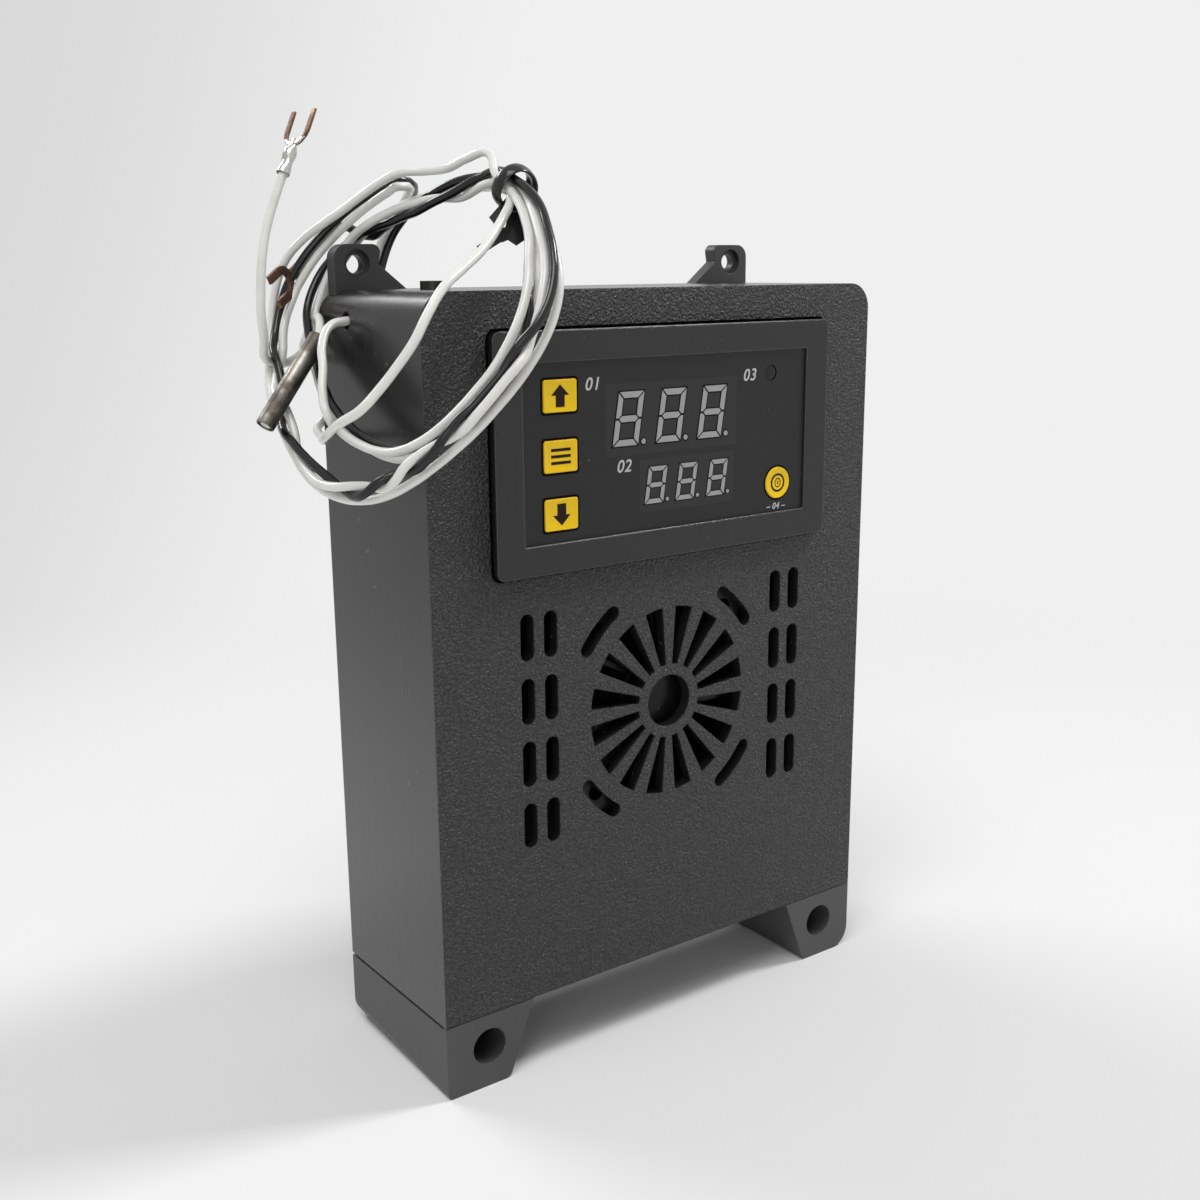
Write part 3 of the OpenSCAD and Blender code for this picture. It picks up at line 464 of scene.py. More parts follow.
dress(satin("foot_plastic", (0.06, 0.06, 0.061), 0.42, 1400, 0.03), "foot_cover")
dress(satin("back_plastic", (0.033, 0.033, 0.034), 0.45), "rear_plate")
# The bezel's last argument sets its painted edge highlight
bezel_finish = satin("bezel_plastic", (0.013, 0.0132, 0.0137), 0.24, 1500, 0.01, 0.7, 0.05, 0.42, 0.4)
dress(bezel_finish, "controller_bezel")
module_finish = satin("module_plastic", (0.02, 0.02, 0.021), 0.5, shine=0.25)
dress(module_finish, "controller_case", "controller_clips", "lead_clamp")
dress(satin("fan_plastic", (0.005, 0.005, 0.0053), 0.24, shine=0.2), "fan_frame", "fan_rotor")
dress(satin("heater_plastic", (0.02, 0.0185, 0.017), 0.55, shine=0.2), "heater_frame")
display_finish = satin("display_plastic", (0.018, 0.018, 0.0184), 0.42, 2600, 0.008, 0.05, 0.04, 0.3)
dress(display_finish, "display_main", "display_set")
dress(satin("terminal_plastic", (0.03, 0.22, 0.09), 0.4), "terminal_block")
dress(satin("relay_plastic", (0.03, 0.1, 0.4), 0.25), "controller_relay")
dress(satin("board_laminate", (0.02, 0.14, 0.055), 0.3), "controller_board")

# %% [markdown]
# ### Panel film
# The panel is covered by one matt printed film. It is almost black, with a hair of brushed grain, and the
# two display windows in it are a touch paler. Their soft-edged fields come from steps on X and Z.

# %% Panel film finish
film_finish = Finish("window_foil", (0.012, 0.0122, 0.0126), 0.42, Specular_IOR_Level=0.32)
FIELD_EDGE = 0.35
MAIN_FIELD = (0, 123.6, 31.6, 13.4)
SET_FIELD = (3.6, 111.0, 23.4, 10.2)


def film_field(x, z, width, height):
    field = 1.0
    for axis, centre, size in (("X", x, width), ("Z", z, height)):
        place = film_finish.along(axis)
        start = centre - size / 2
        end = centre + size / 2
        rise = film_finish.step(place, *mm(start, start + FIELD_EDGE))
        fall = film_finish.step(place, *mm(end - FIELD_EDGE, end))
        field = rise * (1 - fall) * field
    return field


fields = film_field(*MAIN_FIELD) + film_field(*SET_FIELD)
brushed = film_finish.noise(1, 3, film_finish.stretched(300, 300, 3800), 0.6)
speck = film_finish.step(film_finish.noise(1100, 1), 0.79, 0.8)
film_tone = film_finish.blend(brushed, (0.0075, 0.0077, 0.008), (0.0155, 0.0157, 0.0162))
film_tone = film_finish.blend(fields * 0.55, film_tone, (0.026, 0.026, 0.0265))
film_finish.feed("Base Color", film_finish.blend(speck * 0.12, film_tone, (0.5, 0.5, 0.5)))
film_finish.feed("Roughness", 0.4 + brushed * 0.1)
film_finish.skin(brushed, 0.008)
print("film finish:", len(film_finish.tree.nodes), "nodes")

# %% [markdown]
# ### Marks, keys, insulation and tie
# The keys are moulded in a warm yellow. Lead insulation is smooth PVC, so it has a low roughness and a
# thin clear layer over its colour, with a little handling dirt on the white one.

# %% Small plastics
def coloured(name, tone, roughness, spread=0.12, scale=260, coat=0.0, dirt=None, shine=0.5):
    finish = Finish(name, tone, roughness, Coat_Weight=coat, Coat_Roughness=0.08, Specular_IOR_Level=shine)
    shade = finish.blend(finish.noise(scale, 3), scaled(tone, 1 - spread), scaled(tone, 1 + spread))
    if dirt:
        shade = finish.blend(finish.step(finish.noise(90, 4), 0.55, 0.8) * 0.5, shade, dirt)
    finish.feed("Base Color", shade)
    finish.feed("Roughness", roughness - 0.04 + finish.noise(scale * 2, 2) * 0.08)
    finish.skin(finish.noise(scale * 6, 2), 0.01)
    return finish.material


key_finish = coloured("key_plastic", (0.93, 0.6, 0.006), 0.42, 0.05, shine=0.3)
mark_brown = coloured("mark_brown", (0.016, 0.007, 0.004), 0.5, shine=0.15)
line_dark = coloured("line_dark", (0.005, 0.0025, 0.002), 0.6, shine=0.05)
mark_light = coloured("mark_light", (0.5, 0.5, 0.5), 0.5)
segment_light = coloured("segment_light", (0.33, 0.332, 0.328), 0.4, 0.1)
# Dark material for the painted shadow round the digit bars
segment_painted_shadow = coloured("segment_painted_shadow", (0.005, 0.005, 0.0055), 0.45, shine=0.1)
# Near-black for the painted shadow in the gap round the bezel
painted_gap_shadow = coloured("painted_gap_shadow", (0.002, 0.002, 0.002), 0.6, shine=0.0)
lamp_finish = coloured("lamp_plastic", (0.008, 0.008, 0.009), 0.22, coat=0.1, shine=0.25)
HANDLED_WHITE = (0.6, 0.58, 0.52)
HANDLED_BLACK = (0.03, 0.03, 0.029)
white_finish = coloured("white_insulation", (0.8, 0.8, 0.77), 0.3, 0.04, 300, 0.35, HANDLED_WHITE)
black_finish = coloured("black_insulation", (0.006, 0.006, 0.0064), 0.18, 0.2, 300, 0.1, HANDLED_BLACK, 0.4)
tie_finish = coloured("tie_plastic", (0.007, 0.007, 0.0075), 0.22, 0.2, 300, 0.1, shine=0.4)
dress(white_finish, "inner_wiring")

# %% [markdown]
# ### Metals
# Metal has no colour of its own apart from its reflection, so tone and roughness carry everything. Drawn
# and ground pieces get lines along one axis, stamped and plated ones a cloudy film, and old copper a
# brown film that leaves bright patches.

# %% Metals
def metal(name, tone, film, roughness, cover=0.5, stretch=(1, 1, 1), scale=400):
    finish = Finish(name, tone, roughness, Metallic=1.0)
    lines = finish.noise(scale, 4, finish.stretched(*stretch), 0.6)
    patch = finish.step(finish.noise(220, 4), 1 - cover - 0.12, 1 - cover + 0.12)
    finish.feed("Base Color", finish.blend(patch, finish.blend(lines, tone, scaled(tone, 0.8)), film))
    finish.feed("Roughness", roughness - 0.08 + lines * 0.16 + patch * 0.12)
    finish.skin(lines, 0.015, 0.12)
    return finish.material


zinc_finish = metal("zinc_steel", (0.62, 0.63, 0.65), (0.5, 0.5, 0.48), 0.32)
dress(zinc_finish, "plate_screws", "foot_cover_screws", "fan_screws")
dress(metal("black_steel", (0.05, 0.048, 0.046), (0.09, 0.06, 0.04), 0.38, 0.35), "top_screw")
dress(metal("switch_metal", (0.55, 0.56, 0.58), (0.45, 0.45, 0.44), 0.34), "key_switches")
dress(metal("shaft_steel", (0.66, 0.67, 0.69), (0.6, 0.6, 0.6), 0.22, 0.3, (1, 0.05, 1)), "fan_shaft")
dress(metal("bronze", (0.62, 0.45, 0.2), (0.42, 0.3, 0.14), 0.45), "fan_bush")
dress(metal("winding", (0.55, 0.22, 0.07), (0.4, 0.14, 0.04), 0.3), "fan_stator")
dress(metal("core_aluminium", (0.74, 0.75, 0.77), (0.62, 0.62, 0.63), 0.36), "heater_core")
dress(metal("tab_brass", (0.72, 0.52, 0.22), (0.5, 0.36, 0.16), 0.34), "heater_tabs")
dress(metal("cutoff_metal", (0.62, 0.63, 0.64), (0.5, 0.5, 0.5), 0.3), "thermal_cutoff")
probe_finish = metal("probe_steel", (0.34, 0.32, 0.29), (0.1, 0.088, 0.075), 0.4, 0.5, scale=1100)
tinned_finish = metal("tinned_copper", (0.6, 0.59, 0.57), (0.34, 0.31, 0.27), 0.22, 0.4)
copper_finish = metal("bare_copper", (0.26, 0.15, 0.09), (0.12, 0.075, 0.05), 0.42, 0.55)
filler_finish = coloured("probe_filler", (0.62, 0.6, 0.55), 0.5)

# %% [markdown]
# ## Modelling helpers
# Operators act on what is selected, so each start clears the selection. `choose` opens a piece in edit
# mode with only the faces, edges or corners that pass a test. `complete` closes it: it applies the
# transform, so that the object sits at the origin, and gives it a name, a finish and a body.

# %% Select, choose and complete
SMOOTH_BELOW = math.radians(40)


def clear_selection():
    if bpy.context.mode != "OBJECT":
        bpy.ops.object.mode_set(mode="OBJECT")
    bpy.ops.object.select_all(action="DESELECT")


def choose(kind, test):
    if bpy.context.mode == "OBJECT":
        bpy.ops.object.mode_set(mode="EDIT")
    bpy.ops.mesh.select_mode(type=kind)
    bpy.ops.mesh.select_all(action="DESELECT")
    shape = bmesh.from_edit_mesh(bpy.context.object.data)
    items = {"FACE": shape.faces, "EDGE": shape.edges, "VERT": shape.verts}[kind]
    for item in items:
        item.select_set(bool(test(item)))
    shape.select_flush_mode()
    bmesh.update_edit_mesh(bpy.context.object.data)


def middle(item):
    return sum((v.co for v in item.verts), Vector()) / len(item.verts)


def joined(pieces):
    clear_selection()
    for piece in pieces:
        piece.select_set(True)
    bpy.context.view_layer.objects.active = pieces[0]
    bpy.ops.object.join()
    return bpy.context.object


def complete(piece, name, material, body="case"):
    clear_selection()
    piece.select_set(True)
    bpy.context.view_layer.objects.active = piece
    bpy.ops.object.transform_apply(location=True, rotation=True, scale=True)
    bpy.ops.object.shade_smooth_by_angle(angle=SMOOTH_BELOW)
    piece.name = name
    piece.data.name = name
    piece.data.materials.clear()
    piece.data.materials.append(material)
    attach(piece, body)
    print(name, "has", len(piece.data.polygons), "faces")
    return piece


print("modelling helpers ready")


# %% [markdown]
# Turned pieces start as a cylinder and square ones as a block. `cut_rings` puts loops round a cylinder.
# `push` moves what is chosen, `squeeze` scales it, `draw_out` extrudes it and `inset` insets its faces.

# %% Blocks, cylinders and what is done to them
def cylinder(vertices, radius, depth, place, forward=False):
    clear_selection()
    turn = (math.pi / 2, 0, 0) if forward else (0, 0, 0)
    bpy.ops.mesh.primitive_cylinder_add(
        vertices=vertices, radius=radius * MM, depth=depth * MM, location=mm(*place), rotation=turn)
    bpy.ops.object.transform_apply()
    return bpy.context.object


def block(size, place):
    clear_selection()
    bpy.ops.mesh.primitive_cube_add(size=1, location=mm(*place), scale=mm(*size))
    bpy.ops.object.transform_apply()
    return bpy.context.object


def cut_rings(heights):
    bpy.ops.object.mode_set(mode="EDIT")
    for z in heights:
        bpy.ops.mesh.select_all(action="SELECT")
        bpy.ops.mesh.bisect(plane_co=mm(0, 0, z), plane_no=(0, 0, 1))


def push(x, y, z):
    bpy.ops.transform.translate(value=mm(x, y, z))


def squeeze(x, y, z):
    bpy.ops.transform.resize(value=(x, y, z))


def draw_out(x, y, z):
    bpy.ops.mesh.extrude_region_move(TRANSFORM_OT_translate={"value": mm(x, y, z)})


def inset(thickness):
    bpy.ops.mesh.inset(thickness=thickness * MM)


print("blocks and cylinders ready")


# %% [markdown]
# Flat marks, such as an arrow or a digit's bar, are outlines. A 2D curve fills them, holes and all, and
# its extrude gives them body. It is made a mesh before it is stood up to face forwards.

# %% Flat marks from outlines
def plate(outlines, depth):
    curve = bpy.data.curves.new("plate", "CURVE")
    curve.dimensions = "2D"
    curve.fill_mode = "BOTH"
    curve.extrude = depth / 2 * MM
    for outline in outlines:
        spline = curve.splines.new("POLY")
        spline.points.add(len(outline) - 1)
        for point, (x, y) in zip(spline.points, outline):
            point.co = (x * MM, y * MM, 0, 1)
        spline.use_cyclic_u = True
    piece = bpy.data.objects.new("plate", curve)
    bpy.context.scene.collection.objects.link(piece)
    clear_selection()
    piece.select_set(True)
    bpy.context.view_layer.objects.active = piece
    bpy.ops.object.convert(target="MESH")
    return bpy.context.object


def facing_front(piece, front_y, depth):
    upright = Matrix.Rotation(math.pi / 2, 4, "X")
    piece.data.transform(Matrix.Translation(mm(0, front_y + depth / 2, 0)) @ upright)
    return piece


def front_plate(outlines, front_y, depth):
    return facing_front(plate(outlines, depth), front_y, depth)


def circle(x, y, radius_x, radius_y=None, count=28):
    radius_y = radius_y or radius_x
    turns = [math.tau * i / count for i in range(count)]
    return [(x + radius_x * math.cos(t), y + radius_y * math.sin(t)) for t in turns]


def rounded(x, y, width, height, radius, count=5):
    outline = []
    for corner, (side_x, side_y) in enumerate(((1, 1), (-1, 1), (-1, -1), (1, -1))):
        for i in range(count + 1):
            turn = math.radians(90 * corner + 90 * i / count)
            outline.append((x + side_x * (width / 2 - radius) + radius * math.cos(turn),
                            y + side_y * (height / 2 - radius) + radius * math.sin(turn)))
    return outline


print("outline helpers ready")

# %% [markdown]
# ## Ends of the leads
# Each power wire ends in a fork terminal: a crimped barrel, a neck and two prongs. The barrel starts as a
# cylinder whose rings are squeezed where the tool bit. The prongs start as one bar that is spun round the
# screw's centre. Both terminals are one model with other proportions.

# %% Fork terminal
FORK = {"barrel_r": 1.2, "barrel_l": 4.5, "wall": 0.3, "bow_z": 8.5, "tip_z": 12.8}
PRONG_L = FORK["tip_z"] - FORK["bow_z"]


def fork_barrel():
    barrel = cylinder(24, FORK["barrel_r"], FORK["barrel_l"], (0, 0, FORK["barrel_l"] / 2))
    cut_rings((0.8, 1.5, 2.2, 2.9, 3.6))
    choose("VERT", lambda v: 1.3 * MM < v.co.z < 3.1 * MM)
    squeeze(1.04, 0.8, 1)
    choose("VERT", lambda v: 2.1 * MM < v.co.z < 2.3 * MM)
    squeeze(1.04, 0.84, 1)
    choose("FACE", lambda f: f.normal.z < -0.9)
    inset(FORK["wall"])
    push(0, 0, 0.5)
    choose("FACE", lambda f: f.normal.z > 0.9)
    draw_out(0, 0, 1.2)
    squeeze(0.85, 0.32, 1)
    draw_out(0, 0, 1.3)
    squeeze(0.95, 0.85, 1)
    return barrel


def fork(prong, inner_r, spread, thick):
    barrel = fork_barrel()
    middle_z = (FORK["tip_z"] + FORK["bow_z"]) / 2
    prongs = block((prong, thick, PRONG_L), (-inner_r - prong / 2, 0, middle_z))
    choose("FACE", lambda f: f.normal.z < -0.9)
    bpy.ops.mesh.spin(steps=14, angle=math.radians(-180), center=mm(0, 0, FORK["bow_z"]), axis=(0, -1, 0))
    draw_out(0, 0, PRONG_L)
    bpy.ops.mesh.select_all(action="SELECT")
    bpy.ops.mesh.remove_doubles(threshold=0.01 * MM)
    bpy.ops.mesh.normals_make_consistent(inside=False)
    choose("VERT", lambda v: v.co.z > (FORK["tip_z"] - 0.1) * MM)
    bpy.ops.transform.resize(value=(spread, 0.8, 1), center_override=mm(0, 0, FORK["tip_z"]))
    choose("EDGE", lambda e: abs(e.verts[0].co.y - e.verts[1].co.y) < 0.01 * MM)
    bpy.ops.mesh.bevel(offset=0.12 * MM, segments=2, clamp_overlap=True)
    return joined([barrel, prongs])


def turned(at, turn, spin=0):
    upright = Euler([math.radians(a) for a in turn], "XYZ").to_matrix().to_4x4()
    return Matrix.Translation(Vector(at) * MM) @ upright @ Matrix.Rotation(math.radians(spin), 4, "Z")


print("fork prongs are", round(PRONG_L, 1), "mm long")

# %% [markdown]
# The white lead's fork is tinned, and its prongs are worn down to the copper, so it has two finishes. The
# black lead's fork is bare copper all over, and its prongs are wider and closer together.

# %% Both fork terminals
WHITE_PLACE = turned((-58.5, 17.8, 167), (0, 29.4, 21.7), 84.9)
WORN_FROM = 7 * MM
fork_white = fork(0.8, 2.2, 1.02, 0.6)
fork_white.data.transform(WHITE_PLACE)
complete(fork_white, "fork_terminal_white", tinned_finish)
fork_white.data.materials.append(copper_finish)
for face in fork_white.data.polygons:
    if (WHITE_PLACE.inverted() @ face.center).z > WORN_FROM:
        face.material_index = 1
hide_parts("fork_white")
fork_black = fork(1.5, 1.6, 1.0, 0.8)
fork_black.data.transform(turned((-50.3, 29.5, 151.6), (0, 113.1, 218.3), 10))
complete(fork_black, "fork_terminal_black", copper_finish)
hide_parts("fork_black")

# %% [markdown]
# ### Sensor probe
# The probe is a drawn steel tube, rolled shut along a seam, with a pale filler that closes the open end.
# It is a cylinder with rings cut by bisect. A few corners on one side are pushed in along the tube, which
# makes the seam's dent, and insets make the open end.

# %% Sensor probe
PROBE_R = 1.7
PROBE_L = 19.6
PROBE_WALL = 0.35
PROBE_PLACE = turned((-56, 12, 139), (0, 139.2, -167))
SEAM_TURN = math.radians(-60)
probe = cylinder(48, PROBE_R, PROBE_L, (0, 0, PROBE_L / 2))
cut_rings((0.5, 9.0, 11.0, 13.0, 15.0, 17.0, 18.2))
choose("VERT", lambda v: v.co.z < 0.1 * MM)
squeeze(0.94, 0.94, 1)
for low, high, dent in ((10.9, 11.1, 0.12), (12.9, 17.1, 0.3), (18.1, 18.3, 0.1)):
    choose("VERT", lambda v: low * MM < v.co.z < high * MM
           and abs(math.atan2(v.co.y, v.co.x) - SEAM_TURN) < 0.3)
    push(-dent * math.cos(SEAM_TURN), -dent * math.sin(SEAM_TURN), 0)
choose("FACE", lambda f: f.normal.z < -0.9)
inset(PROBE_WALL)
push(0, 0, 0.3)
choose("FACE", lambda f: f.normal.z > 0.9)
inset(0.3)
draw_out(0, 0, -0.35)
inset(0.5)
push(0, 0, 0.18)
choose("EDGE", lambda e: abs(middle(e).z) < 0.01 * MM or abs(middle(e).z - PROBE_L * MM) < 0.01 * MM)
bpy.ops.mesh.bevel(offset=0.15 * MM, segments=2)
bpy.ops.object.mode_set(mode="OBJECT")
probe.data.transform(PROBE_PLACE)
complete(probe, "sensor_probe_tube", probe_finish)
probe.data.materials.append(filler_finish)
probe_end = PROBE_PLACE @ Vector((0, 0, PROBE_L * MM))
for face in probe.data.polygons:
    if (face.center - probe_end).length < (PROBE_R - PROBE_WALL) * MM and len(face.vertices) > 4:
        face.material_index = 1
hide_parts("sensor_probe")

# %% [markdown]
# ### Tie
# A flat black plastic ribbon is wound twice round the bundle and its ends hang down. Each winding is a
# ring whose section is drawn out along the bundle, and the ends are flat outlines with cut corners.

# %% Tie round the coil
TIE_SEAT = Matrix.Translation(mm(*ring_point(TIE, 28.05, 0.1)))
OUTWARD = Vector(ring_point(TIE, 29, 0) - ring_point(TIE, 28, 0)).normalized()
NORMAL = Vector(RING_NORMAL).normalized()
TIE_AXES = Matrix((OUTWARD, NORMAL, NORMAL.cross(OUTWARD))).transposed().to_4x4()
tie_pieces = []
for tilt, shift, bow in ((9, -0.35, 3.5), (-8, 0.4, 3.62)):
    clear_selection()
    bpy.ops.mesh.primitive_torus_add(major_segments=56, minor_segments=14, major_radius=bow * MM,
                                     minor_radius=0.42 * MM)
    winding = bpy.context.object
    choose("VERT", lambda v: True)
    squeeze(1, 1, 3.1)
    bpy.ops.object.mode_set(mode="OBJECT")
    place = Matrix.Translation(mm(0, 0, shift)) @ Matrix.Rotation(math.radians(tilt), 4, "X")
    winding.data.transform(TIE_SEAT @ TIE_AXES @ place)
    tie_pieces.append(winding)

RIBBON_ACROSS = Vector((0.806, -0.592, -0.008))
RIBBON_UP = Vector((0.143, 0.182, 0.973))
RIBBON_PLANE = Matrix((RIBBON_ACROSS, RIBBON_UP, RIBBON_ACROSS.cross(RIBBON_UP))).transposed().to_4x4()
CLEAR_OF_RINGS = (-0.06, 0.294)
RIBBON_ENDS = [
    (3.4, 5, [
        (-0.35, -1.4), (-2.3, -9.5), (-1.2, -9.0), (0.26, -9.95), (2.1, -8.65), (1.55, -5.9), (0.7, -1.4)]),
    (3.55, -6, [(-0.2, -1.55), (-1.4, -1.55), (-4.5, -5.0), (-3.1, -6.85), (-1.2, -4.0), (-0.5, -3.4)]),
    (3.7, 6, [(-1.2, -6.9), (-2.0, -6.9), (-6.6, -10.3), (-5.55, -11.5), (-1.6, -8.9), (-1.2, -8.6)])]
for behind, swing, outline in RIBBON_ENDS:
    end = plate([outline], 0.35)
    shift = Matrix.Translation(mm(CLEAR_OF_RINGS[0] * behind, CLEAR_OF_RINGS[1] * behind, -behind))
    end.data.transform(TIE_SEAT @ RIBBON_PLANE @ shift @ Matrix.Rotation(math.radians(swing), 4, "Y"))
    tie_pieces.append(end)
coil_tie = complete(joined(tie_pieces), "ribbon_tie", tie_finish)
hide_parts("coil_tie")

# %% [markdown]
# ### Leads take their finish
# Each lead takes its finish, hangs on the case body, and its solids are hidden. The table lists for each
# lead its finish, slot, exit point, length from the case to its end, the pieces that hang on it and the
# solids that it replaces; the loop uses only the finish and the solids. The sensor lead carries the probe
# and the tie, and each power wire its fork.

LEADS = (
    (sensor_lead, white_finish, "white_insulation", (-52.2, 8.75, 141.7), 0.445, [probe, coil_tie],
     ("sensor_lead_start", "sensor_lead_tail", "lead_coil")),
    (white_lead, white_finish, "white_insulation", (-39.4, 19.75, 141.3), 0.485, [fork_white],
     ("white_lead_start", "white_lead_tail")),
    (black_lead, black_finish, "black_insulation", (-37.6, 19.75, 141.3), 0.435, [fork_black],
     ("black_lead_start", "black_lead_tail")))
for lead, material, slot, exit_point, length, fittings, solids in LEADS:
    lead.data.materials.append(material)
    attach(lead, "case")
    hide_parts(*solids)
print("leads declared:", len(LEADS))

# %% [markdown]
# ## Controller panel
# ### Keys
# Three square keys and a round one stand a little proud of the panel film. Each key is a block with soft
# corners, a fine raised rim and a wider flange behind the panel that keeps it in.

# %% Keys
KEY_FRONT = -19.55
KEY_NECK = -17.45
KEY_BACK = -16.65
KEYS = {"key_up": 128.8, "key_set": 118.2, "key_down": 107.8}
KEY_X = -25.7
KEY_SIZE = (7.1, 5.7)
ROUND_KEY = (26.7, 108.5)
ROUND_KEY_R = 3.12
KEY_MIDDLE = (KEY_NECK + KEY_FRONT) / 2
KEY_DEPTH = KEY_NECK - KEY_FRONT
RIM_HEIGHT = 0.07


def soften_key(corner):
    choose("EDGE", lambda e: abs(e.verts[0].co.y - e.verts[1].co.y) > 1 * MM)
    if corner:
        bpy.ops.mesh.bevel(offset=corner * MM, segments=4)
    choose("FACE", lambda f: f.normal.y > 0.9)
    draw_out(0, 0, 0)
    squeeze(1.16, 1, 1.19)
    draw_out(0, KEY_BACK - KEY_NECK, 0)
    choose("FACE", lambda f: f.normal.y < -0.9 and middle(f).y < (KEY_FRONT + 0.1) * MM)
    inset(0.32)
    inset(0.12)
    push(0, RIM_HEIGHT, 0)
    choose("EDGE", lambda e: all(v.co.y < (KEY_FRONT + 0.01) * MM and len(v.link_faces) < 5 for v in e.verts)
           and any(abs(f.normal.y) < 0.5 for f in e.link_faces))
    bpy.ops.mesh.bevel(offset=0.14 * MM, segments=3)


for name, z in KEYS.items():
    key = block((KEY_SIZE[0], KEY_DEPTH, KEY_SIZE[1]), (KEY_X, KEY_MIDDLE, z))
    soften_key(0.45)
    complete(key, name + "_cap", key_finish, name)
    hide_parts(name)

round_key = cylinder(64, ROUND_KEY_R, KEY_DEPTH, (ROUND_KEY[0], KEY_MIDDLE, ROUND_KEY[1]), forward=True)
soften_key(0)
complete(round_key, "key_restart_cap", key_finish, "key_restart")
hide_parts("key_restart")

# %% [markdown]
# ### Marks on the keys and the film
# Up and down are block arrows, and the middle key carries three bars. The round key has a ring and a
# stroke. Round every key a dark line is printed on the film. Plain slanted numbers stand by the displays,
# the lamp and the round key, and they are text made into meshes.

# %% Key marks
ARROW = [(-0.95, -1.95), (0.95, -1.95), (0.95, 0.1), (1.9, 0.1), (0, 2.0), (-1.9, 0.1), (-0.95, 0.1)]
MARK_DEPTH = 0.06
PRINT_LIFT = 0.03
KEY_FACE = KEY_FRONT + RIM_HEIGHT


def key_mark(name, outlines, x, z, body):
    placed = [[(px + x, pz + z) for px, pz in outline] for outline in outlines]
    complete(front_plate(placed, KEY_FACE - PRINT_LIFT, MARK_DEPTH), name, mark_brown, body)


bars = [[(-2.1, z - 0.27), (2.1, z - 0.27), (2.1, z + 0.27), (-2.1, z + 0.27)] for z in (-1.15, 0, 1.15)]
key_mark("mark_up", [ARROW], KEY_X, KEYS["key_up"], "key_up")
key_mark("mark_down", [[(x, -y) for x, y in reversed(ARROW)]], KEY_X, KEYS["key_down"], "key_down")
key_mark("mark_set", bars, KEY_X, KEYS["key_set"], "key_set")
stroke = [(-0.12, -0.35), (0.12, -0.35), (0.12, 0.35), (-0.12, 0.35)]
rings = [circle(0, 0, 1.85), circle(0, 0, 1.45), circle(0, 0, 0.8, 0.95), circle(0, 0, 0.6, 0.75)]
key_mark("mark_restart", rings + [stroke], ROUND_KEY[0], ROUND_KEY[1], "key_restart")

# %% [markdown]
# The line round each key is one plate with two outlines, an outer and an inner, so it is a thin frame.

# %% Printed lines round the keys
WINDOW_Y = -19.25
FILM_DEPTH = 0.05


def round_keys(grow, corner, round_grow):
    frames = [rounded(KEY_X, z, KEY_SIZE[0] + grow, KEY_SIZE[1] + grow, corner) for z in KEYS.values()]
    return frames + [circle(*ROUND_KEY, ROUND_KEY_R + round_grow, count=48)]


key_holes = round_keys(0.14, 0.5, 0.08)
key_lines = front_plate(round_keys(0.9, 0.7, 0.4) + key_holes, WINDOW_Y - PRINT_LIFT, FILM_DEPTH)
complete(key_lines, "key_outlines", line_dark)

# %% [markdown]
# ### Film
# The film is one sheet with holes for the keys and the lamp, so it is an outline too. A thin dark line on
# the case, round the bezel, is painted shadow: the shade in the gap that the bezel's edge leaves.

# %% Film and gap
FILM = (0.0, 118.7, 67.4, 32.0)
BEZEL = (0.0, 118.7, 79.0, 43.0)
LAMP = (24.5, 130.3)
LAMP_R = 1.5
film = front_plate([rounded(*FILM, 0.6)] + key_holes + [circle(*LAMP, LAMP_R + 0.06)], WINDOW_Y, 0.3)
complete(film, "panel_film", film_finish.material)
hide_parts("controller_window")
# A dark ring on the case round the bezel: painted shadow of the gap
shadow_outlines = [
    rounded(BEZEL[0], BEZEL[1], BEZEL[2] + grow, BEZEL[3] + grow, 1.5 + grow / 2) for grow in (1.0, -0.3)]
shadow_line_piece = front_plate(shadow_outlines, FRONT_Y / MM - PRINT_LIFT, 0.04)
complete(shadow_line_piece, "bezel_shadow_line", painted_gap_shadow)

# %% [markdown]
# The numbers are text objects, slanted and a little extruded. Text is made a mesh before it is placed, and
# the four are joined, because they are one print on one film.

# %% Numbers on the film
NUMBERS = (
    ("01", -20.3, 129.4, 3.2), ("02", -13.3, 114.1, 3.2), ("03", 17.2, 129.1, 3.2),
    ("\u2013 04 \u2013", 24.0, 103.25, 1.75))
numbers = []
for text, x, z, size in NUMBERS:
    clear_selection()
    bpy.ops.object.text_add()
    label = bpy.context.object
    label.data.body = text
    label.data.size = size * MM
    label.data.shear = 0.22
    label.data.extrude = FILM_DEPTH / 2 * MM
    label.data.offset = 0.04 * MM
    label.data.space_character = 1.1
    bpy.ops.object.convert(target="MESH")
    label = bpy.context.object
    facing_front(label, WINDOW_Y - PRINT_LIFT, FILM_DEPTH)
    label.data.transform(Matrix.Translation(mm(x, 0, z)))
    numbers.append(label)
complete(joined(numbers), "film_numbers", mark_light)

# %% [markdown]
# ### Digits
# Each display has three slanted digits of seven bars and a point. The bars are mitred where they meet, so
# each is its own small outline, worked out from the digit's width, height and stroke. A dark copy with
# thicker bars lies just behind, and shows as the thin dark line round every bar: a painted shadow.

# %% Seven-bar digits
DIGIT_Y = -19.2
DIGIT_DEPTH = 0.03
BAR_LIFT = 0.12
SHADOW_LIFT = 0.08
SLANT = math.tan(math.radians(9))


